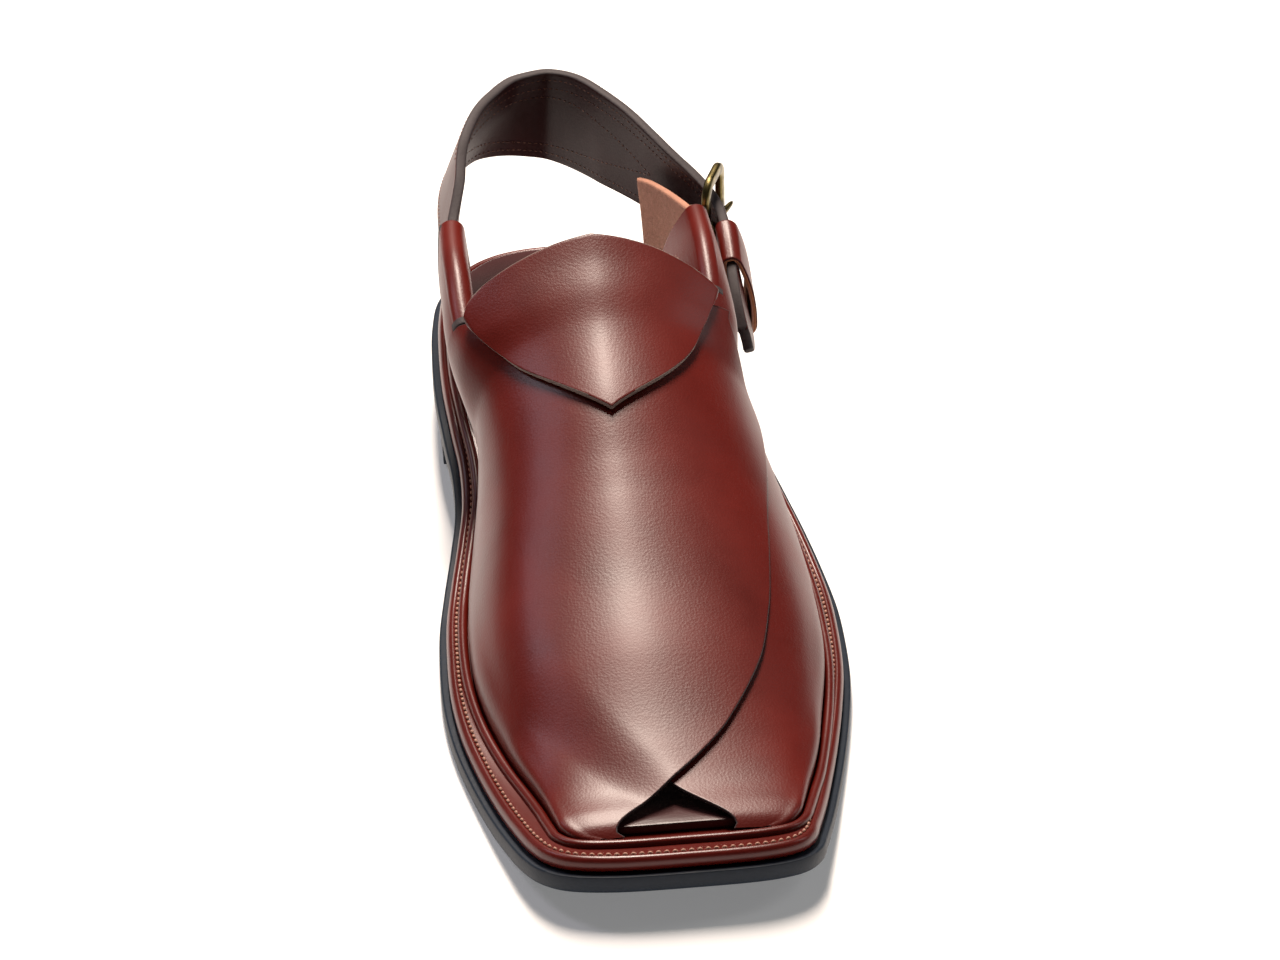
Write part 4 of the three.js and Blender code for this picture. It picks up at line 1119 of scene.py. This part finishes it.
def band_patch(top, bottom, columns, crown):
    """A band's middle surface: a rounded path through its rows, straight from edge to edge
    but for a slight crown, a parabola crown high. It faces away from the heel's middle."""
    both = rounded_path(np.hstack([top, bottom]), 6, False)
    v = with_fine_ends(columns, 0.035)
    points = mix(both[:, None, :3], both[:, None, 3:], v[:, None])
    normals = facing(grid_normals(points), points * [1, 1, 0])
    points = points + normals * (crown * 4 * v * (1 - v))[:, None]
    return points, normals, np.minimum(from_ends(points, 0), from_ends(points, 1)), 0.0


def strap_patch(s):
    """The whole heel strap: held in the inner loop, round the heel, out to its tail."""
    held_top, held_bottom = held_rows(s, MEDIAL_LOOP)
    top, bottom = band_rows(s, STRAP, 2)
    reach = unit(top[-1] - top[-2]) * TAIL["reach"][:, None] * MM
    inset = TAIL["inset"][:, None]
    return band_patch(np.vstack([held_top, top, mix(top[-1], bottom[-1], inset) + reach]),
                      np.vstack([held_bottom, bottom, mix(bottom[-1], top[-1], inset) + reach]),
                      26, 0.25 * MM)


def build_strap(s):
    """The heel strap with its border stitches, and a leaf-shaped pad's seam on the lining:
    two arcs between the pad's points."""
    patch = strap_patch(s)
    leather = leather_material("Strap leather", scaled(s.leather_colour, 0.5), 0.44, 0.15)
    sheet_piece("strap", [patch], STRAP_THICK, [leather, lining_leather(s), cut_edge(s)],
                "heel_strap", 0.9 * MM)
    points = patch[0]
    across = run_length(points, 1)
    rows = np.arange(int(SEAM_FROM * len(points)), int(SEAM_TO * len(points)))
    near = BORDER / across[rows, -1]
    lines = [(rows, near, -1), (rows, 1 - near, -1),
             (rows, SECOND_BORDER / across[rows, -1], -1),
             (rows, near, 1), (rows, 1 - near, 1)]
    middle = points[:, points.shape[1] // 2]
    length = run_length(middle, 0)
    t = np.linspace(-1, 1, 90)
    pad = np.interp(length[np.argmax(middle[:, 1])] + t * PAD_REACH,
                    length, np.arange(len(length)))
    lines += [(pad, 0.55 + bow * (1 - t ** 2), -1) for bow in (-0.27, 0.27)]
    shares = across[0] / across[0, -1]
    where, faces = joined([
        stitches_on(patch, row, np.interp(share, shares, np.arange(len(shares))),
                    side * (STRAP_THICK / 2 + SEAM_LIFT), s.stitch * 0.8, STRAP_THREAD)
        for row, share, side in lines])
    make_piece("strap_stitches", where, faces, [thread_material(
        "Strap thread", (0.19, 0.085, 0.055))])


def build_guard(s):
    """The flesh-side tab between the foot and the buckle, its free end cut on a slant."""
    held_top, held_bottom = held_rows(s, LATERAL_LOOP)
    top, bottom = band_rows(s, GUARD, 2)
    rows = np.arange(len(bottom))
    kept = rows * (1 - SLANT * rows / rows[-1])
    bottom = np.stack([np.interp(kept, rows, bottom[:, k]) for k in range(3)], axis=1)
    patch = band_patch(np.vstack([held_top, top]), np.vstack([held_bottom, bottom]),
                       22, 0.3 * MM)
    edge = flesh_material("Tab cut edge", (0.42, 0.2, 0.13), 0.8)
    sheet_piece("guard_tab", [patch], GUARD_THICK, [upper_leather(s), flesh_side(s), edge],
                "guard_flap")


# Buckle and keeper
def buckle_axes(s):
    """From the hinge bar to the far bar, down along the bars, and out of the buckle."""
    hinge, far = (place(b["at"] * s.sole_length, b["side"] * s.ball_width,
                        b["middle"] * s.strap_height) for b in (HINGE_BAR, FAR_BAR))
    along = unit(far - hinge)
    plumb = np.array([0, 0, -1.0])
    down = unit(plumb - along * plumb.dot(along))
    return hinge, far, along, down, np.cross(down, along)


def rounded_box(tall, deep, radius, count, longest):
    """A rectangle with round corners about its centre: four quarter circles of count
    points, joined by straight runs that are cut into even steps of about longest."""
    corners = []
    for k, (x, y) in enumerate(((1, 1), (-1, 1), (-1, -1), (1, -1))):
        a = np.radians(90 * k + np.linspace(0, 90, count))
        corners.append(np.stack([x * (tall - radius) + radius * np.cos(a),
                                 y * (deep - radius) + radius * np.sin(a)], axis=1))
    corners = np.vstack(corners)
    change = np.roll(corners, -1, axis=0) - corners
    steps = np.maximum(1, (np.linalg.norm(change, axis=1) / longest).astype(int))
    part = np.concatenate([np.arange(n) / n for n in steps])[:, None]
    return np.repeat(corners, steps, axis=0) + np.repeat(change, steps, axis=0) * part


def build_buckle(s):
    """The frame is a squared section carried round a rectangle with round corners; the
    prong is an eye round the hinge bar and a tapered rod over the far bar."""
    hinge, far, along, down, out = buckle_axes(s)
    box = rounded_box(np.linalg.norm(far - hinge) / 2, (FRAME_TALL - BAR) / 2,
                      FRAME_CORNER, 10, 1.2 * MM)
    path = (hinge + far) / 2 + along * box[:, :1] + down * box[:, 1:]
    flat = np.broadcast_to(out, path.shape)
    where, faces = tube(path, np.cross(heading_round(path), flat), flat,
                        FLAT_BAR, 0.42 * BAR, 20, True, 0.55)
    brass = brass_material("Antique brass", s.brass_colour)
    make_piece("buckle_ring", where, faces, [brass], ("buckle_frame",), angle=60)

    end = far + out * ((BAR + PRONG) / 2 + 2 * GAP) + along * PRONG_REACH
    eye = BAR / 2 + GAP + 0.55 * MM
    towards = unit(end - hinge)
    start = hinge + towards * eye
    a = (2 * math.pi * np.arange(36) / 36)[:, None]
    ring = hinge + along * eye * np.cos(a) + out * eye * np.sin(a)
    flat = np.broadcast_to(down, ring.shape)
    curl = tube(ring, np.cross(heading_round(ring), flat), flat, 0.55 * MM, MM, 12, True, 0.7)
    t = np.linspace(0, 1, 24)
    rod = mix(start, end, t[:, None])
    taper = 1 - 0.35 * smooth((t - 0.55) / 0.45) - 0.4 * smooth((t - 0.93) / 0.07)
    side = np.broadcast_to(down, rod.shape)
    spike = tube(rod, side, np.cross(towards, side), PRONG / 2 * taper, PRONG / 2 * taper,
                 14, False, 0.85)
    where, faces = joined([curl, spike])
    make_piece("prong", where, faces, [brass], ("buckle_prong",), angle=60)


def build_keeper(s):
    """The keeper: a leather ring round the strap's tail, following its rows."""
    top, bottom = band_rows(s, STRAP, 3)
    middle = (top + bottom) / 2
    along = HEEL_CENTRE - middle[:, 1]
    start = int(np.argmax((middle[:, 0] > 0) & (along > KEEPER_FROM * s.sole_length)))
    far = np.linalg.norm(middle - middle[start], axis=1) > KEEPER_WIDE - MM
    end = int(np.argmax(far & (np.arange(len(far)) > start)))
    rows = slice(start - 1, end + 2)
    both = rounded_path(np.hstack([top[rows], bottom[rows]]), 10, False)[10:-10]
    top, bottom = both[:, :3], both[:, 3:]
    middle = (top + bottom) / 2
    heading = unit(np.gradient(middle, axis=0))
    down = unit(bottom - top)
    out = np.cross(heading, down)
    extra = KEEPER_THICK / 2
    tall = np.mean(np.linalg.norm(bottom - top, axis=1)) / 2 + GAP + extra
    deep = STRAP_THICK / 2 + GAP + extra
    ring = rounded_box(tall, deep, 1.2 * MM + extra, 9, MM)
    ring = np.vstack([ring, ring[:1]])
    swell = 2.2 * MM * np.maximum(0, np.sign(ring[:, 1])) * np.maximum(
        0, 1 - (ring[:, 0] / tall) ** 2)
    points = (middle[:, None, :] + down[:, None, :] * ring[:, :1]
              + out[:, None, :] * (ring[:, 1] + swell)[:, None])
    normals = grid_normals(points)
    normals[:, -1] = normals[:, 0] = unit(normals[:, 0] + normals[:, -1])
    normals = facing(normals, points - middle[:, None, :])
    edge = flesh_material("Keeper cut edge", (0.42, 0.15, 0.07), 0.75)
    sheet_piece("keeper_loop", [(points, normals, from_ends(points, 0), 0.0)], KEEPER_THICK,
                [upper_leather(s), flesh_side(s), edge], "keeper", 0.5 * MM)


# Sole
def rings_at(s, ring, steps):
    """An outline at each of several insets and heights."""
    return [ring_at(s, ring, inset, height) for inset, height in steps]


def build_outsole(s):
    """The outsole: its outline with small round edges, and the heel block, whose sides are
    drawn in towards the tread."""
    ring = plan_ring(s, "outsole")
    bevel = 1.1 * MM
    top = 0.6 * MM
    where, faces = ring_solid(rings_at(s, ring, [
        (bevel, 0), (0.45 * bevel, 0.18 * bevel), (0.12 * bevel, 0.55 * bevel), (0, bevel),
        (0, OUTSOLE - top), (0.3 * top, OUTSOLE - 0.3 * top), (top, OUTSOLE)]))
    rubber = rubber_material("Sole rubber", s.sole_colour)
    make_piece("outsole_rubber", where, faces, [rubber], ("outsole",), angle=50)
    where, faces = ring_solid([
        heel_loop(ring, inset, HEEL_BREAST - rake, height)
        for inset, rake, height in HEEL_STEPS * MM])
    make_piece("heel_block", where, faces, [rubber], ("heel",), angle=50)


def heel_loop(ring, inset, breast, height):
    """The outline behind the heel's breast, closed by a straight line; each side is the
    same count of points, evenly spaced."""
    sides = []
    for side in two_sides(inset_ring(ring, inset)):
        kept = side[side[:, 1] < breast]
        after = side[len(kept)]
        t = (breast - kept[-1, 1]) / (after[1] - kept[-1, 1])
        cut = np.vstack([kept, kept[-1] + (after - kept[-1]) * t])
        length = run_length(cut, 0)
        even = np.linspace(0, length[-1], 60)
        sides.append(np.stack([np.interp(even, length, cut[:, k]) for k in range(2)], axis=1))
    across = np.linspace(0, 1, 13)[1:-1, None]
    breast_line = sides[0][-1] + (sides[1][-1] - sides[0][-1]) * across
    loop = np.vstack([sides[0], breast_line, sides[1][1:][::-1]])
    return place(loop[:, 1], loop[:, 0], height)


def build_welt(s):
    """The wrapped midsole: a rounded edge, the groove with its stitches, and the ridge
    behind which the upper is tucked in."""
    outline = plan_ring(s, "outsole")
    last = plan_ring(s, "last")
    edge = 2 * MM
    crown = 1.9 * MM
    ridge = 1.45 * MM
    loops = rings_at(s, outline, [
        (edge + 0.5 * MM, WELT_BOTTOM), (edge + 0.1 * MM, WELT_BOTTOM + 0.5 * MM)] + [
        (edge + crown * (1 - math.cos(t)), WELT_BOTTOM + WELT * (0.45 + 0.55 * math.sin(t)))
        for t in np.radians(np.linspace(0, 90, 7))] + [
        (4.2 * MM, WELT_FLOOR + 0.1 * MM), (4.9 * MM, WELT_FLOOR - 0.15 * MM)])
    loops += rings_at(s, last, [
        (-0.3 * MM - ridge * (1 - math.cos(t)),
         WELT_FLOOR + 0.1 * MM + (0.3 * MM + RIDGE) * math.sin(t) ** 0.8)
        for t in np.radians(np.linspace(180, 0, 9))] + [(-0.3 * MM, WELT_FLOOR)])
    where, faces = ring_solid(loops)
    wrap = leather_material("Welt leather", scaled(s.leather_colour, 0.9), 0.34, 0.3,
                            scale=1900.0, depth=0.00008)
    make_piece("welt_wrap", where, faces, [wrap], ("welt",), angle=60)
    path = ring_at(s, outline, 4.75 * MM, WELT_FLOOR + 0.36 * MM)
    path = np.vstack([path, path[:1]])
    up = np.tile([0.0, 0.0, 1.0], (len(path), 1))
    where, faces = stitch_row(path, up, s.stitch, WELT_THREAD)
    pale = thread_material("Welt thread", scaled(s.thread_colour, 1.9))
    make_piece("welt_stitches", where, faces, [pale])


def build_insole(s):
    """The footbed: the last's outline drawn in where the upper is tucked under it."""
    last = plan_ring(s, "last")
    under_upper = smooth((last[:, 1] - 92 * MM) / (16 * MM))
    at_toe = smooth((last[:, 1] - 250 * MM) / (20 * MM))
    inset = mix(GAP, s.leather + GAP + 0.3 * MM, under_upper) + 1.6 * MM * at_toe
    top = SEAT + INSOLE
    where, faces = ring_solid(rings_at(s, last, [
        (inset, SEAT), (inset, top - 0.7 * MM),
        (inset + 0.2 * MM, top - 0.2 * MM), (inset + 0.7 * MM, top)]))
    make_piece("footbed", where, faces, [leather_material(
        "Footbed leather", scaled(s.lining_colour, 1.3), 0.42, 0.25)],
        ("insole",), angle=50)


# Stage
CAMERA_AT = (-0.13213, -1.2060, 0.76292)
AIM_SHIFT = np.array([0.004, 0.0, -0.008])
PHOTO_LENS = 107.2
ZOOM = 1.27
FLOOR_HALF = 6.0


def look_at(obj, target):
    """Turns an object so that its -z axis points at a target, with +z up."""
    aim = Vector(target) - obj.location
    obj.rotation_euler = aim.to_track_quat("-Z", "Y").to_euler()


def area_light(name, at, size, power, colour):
    """A soft box aimed at the middle of the shoe."""
    data = bpy.data.lights.new(name, "AREA")
    data.shape = "RECTANGLE"
    data.size, data.size_y = size
    data.energy = power
    data.color = colour
    lamp = bpy.data.objects.new(name, data)
    bpy.context.scene.collection.objects.link(lamp)
    lamp.location = at
    look_at(lamp, (0.0, -0.1, 0.03))


def build_stage():
    """The camera of the photograph aimed at the one shoe, the floor, and soft boxes."""
    data = bpy.data.cameras.new("Camera")
    data.sensor_width = 36
    data.lens = PHOTO_LENS * ZOOM
    data.clip_end = 20
    camera = bpy.data.objects.new("Camera", data)
    bpy.context.scene.collection.objects.link(camera)
    camera.location = CAMERA_AT
    look_at(camera, np.mean(CAD_BOX, axis=0) + AIM_SHIFT)
    bpy.context.scene.camera = camera

    mesh = bpy.data.meshes.new("floor")
    mesh.from_pydata([(x * FLOOR_HALF, y * FLOOR_HALF, 0)
                      for x, y in ((-1, -1), (1, -1), (1, 1), (-1, 1))], [], [(0, 1, 2, 3)])
    floor = bpy.data.objects.new("floor", mesh)
    bpy.context.scene.collection.objects.link(floor)
    material, tree, shader, _ = blank_material("Pale floor")
    wire(tree, shader, {"Base Color": (0.8, 0.8, 0.8, 1), "Roughness": 0.9,
                        "Emission Color": (1, 1, 1, 1), "Emission Strength": 0.2})
    mesh.materials.append(material)

    world = bpy.data.worlds.new("Studio")
    bpy.context.scene.world = world
    world.use_nodes = True
    wire(world.node_tree, world.node_tree.nodes["Background"],
         {"Color": (1, 1, 1, 1), "Strength": 0.04})
    area_light("Top", (0.02, 0.45, 1.15), (0.2, 0.7), 32, (1, 0.87, 0.76))
    area_light("Left", (-0.8, 0.35, 0.95), (0.25, 0.5), 2.3, (0.9, 0.86, 1))
    area_light("Right", (0.95, -0.05, 0.7), (0.25, 0.5), 1.2, (1, 1, 1))
    bpy.context.scene.view_settings.view_transform = "Standard"


# Operators
class CHAPPAL_OT_outsole(bpy.types.Operator):
    """Build the rubber outsole and the heel block"""

    bl_idname = "chappal.outsole"
    bl_label = "Outsole and heel"

    def execute(self, context):
        build_outsole(context.scene.chappal)
        return {"FINISHED"}


class CHAPPAL_OT_welt(bpy.types.Operator):
    """Build the wrapped midsole with its stitches"""

    bl_idname = "chappal.welt"
    bl_label = "Welt"

    def execute(self, context):
        build_welt(context.scene.chappal)
        return {"FINISHED"}


class CHAPPAL_OT_insole(bpy.types.Operator):
    """Build the footbed"""

    bl_idname = "chappal.insole"
    bl_label = "Insole"

    def execute(self, context):
        build_insole(context.scene.chappal)
        return {"FINISHED"}


class CHAPPAL_OT_upper(bpy.types.Operator):
    """Build the two crossing panels with their loops"""

    bl_idname = "chappal.upper"
    bl_label = "Upper"

    def execute(self, context):
        build_upper(context.scene.chappal)
        return {"FINISHED"}


class CHAPPAL_OT_tongue(bpy.types.Operator):
    """Build the pointed instep tongue"""

    bl_idname = "chappal.tongue"
    bl_label = "Tongue"

    def execute(self, context):
        build_tongue(context.scene.chappal)
        return {"FINISHED"}


class CHAPPAL_OT_strap(bpy.types.Operator):
    """Build the heel strap with its stitches"""

    bl_idname = "chappal.strap"
    bl_label = "Heel strap"

    def execute(self, context):
        build_strap(context.scene.chappal)
        return {"FINISHED"}


class CHAPPAL_OT_guard(bpy.types.Operator):
    """Build the tab under the buckle"""

    bl_idname = "chappal.guard"
    bl_label = "Tab"

    def execute(self, context):
        build_guard(context.scene.chappal)
        return {"FINISHED"}


class CHAPPAL_OT_buckle(bpy.types.Operator):
    """Build the buckle's frame and prong"""

    bl_idname = "chappal.buckle"
    bl_label = "Buckle"

    def execute(self, context):
        build_buckle(context.scene.chappal)
        return {"FINISHED"}


class CHAPPAL_OT_keeper(bpy.types.Operator):
    """Build the keeper round the strap's tail"""

    bl_idname = "chappal.keeper"
    bl_label = "Keeper"

    def execute(self, context):
        build_keeper(context.scene.chappal)
        return {"FINISHED"}


class CHAPPAL_OT_stage(bpy.types.Operator):
    """Set up the camera, the floor and the lights"""

    bl_idname = "chappal.stage"
    bl_label = "Stage"

    def execute(self, context):
        build_stage()
        return {"FINISHED"}


class CHAPPAL_PT_panel(bpy.types.Panel):
    """Sizes, colours and the steps that build the shoe"""

    bl_idname = "CHAPPAL_PT_panel"
    bl_label = "Chappal"
    bl_space_type = "VIEW_3D"
    bl_region_type = "UI"
    bl_category = "Chappal"

    def draw(self, context):
        sizes = context.scene.chappal
        for name in ChappalSizes.__annotations__:
            self.layout.prop(sizes, name)
        for step in STEPS:
            self.layout.operator(step.bl_idname)


STEPS = (
    CHAPPAL_OT_outsole,
    CHAPPAL_OT_welt,
    CHAPPAL_OT_insole,
    CHAPPAL_OT_upper,
    CHAPPAL_OT_tongue,
    CHAPPAL_OT_strap,
    CHAPPAL_OT_guard,
    CHAPPAL_OT_buckle,
    CHAPPAL_OT_keeper,
    CHAPPAL_OT_stage,
)
CLASSES = (ChappalSizes, *STEPS, CHAPPAL_PT_panel)


def register():
    """Registers the classes and puts the sizes on the scene."""
    for one in CLASSES:
        bpy.utils.register_class(one)
    bpy.types.Scene.chappal = bpy.props.PointerProperty(type=ChappalSizes)


def unregister():
    """Takes the sizes off the scene and unregisters the classes."""
    del bpy.types.Scene.chappal
    for one in reversed(CLASSES):
        bpy.utils.unregister_class(one)


def main():
    """Builds every piece and the stage."""
    register()
    for step in STEPS:
        group, name = step.bl_idname.split(".")
        getattr(getattr(bpy.ops, group), name)()


if __name__ == "__main__":
    main()
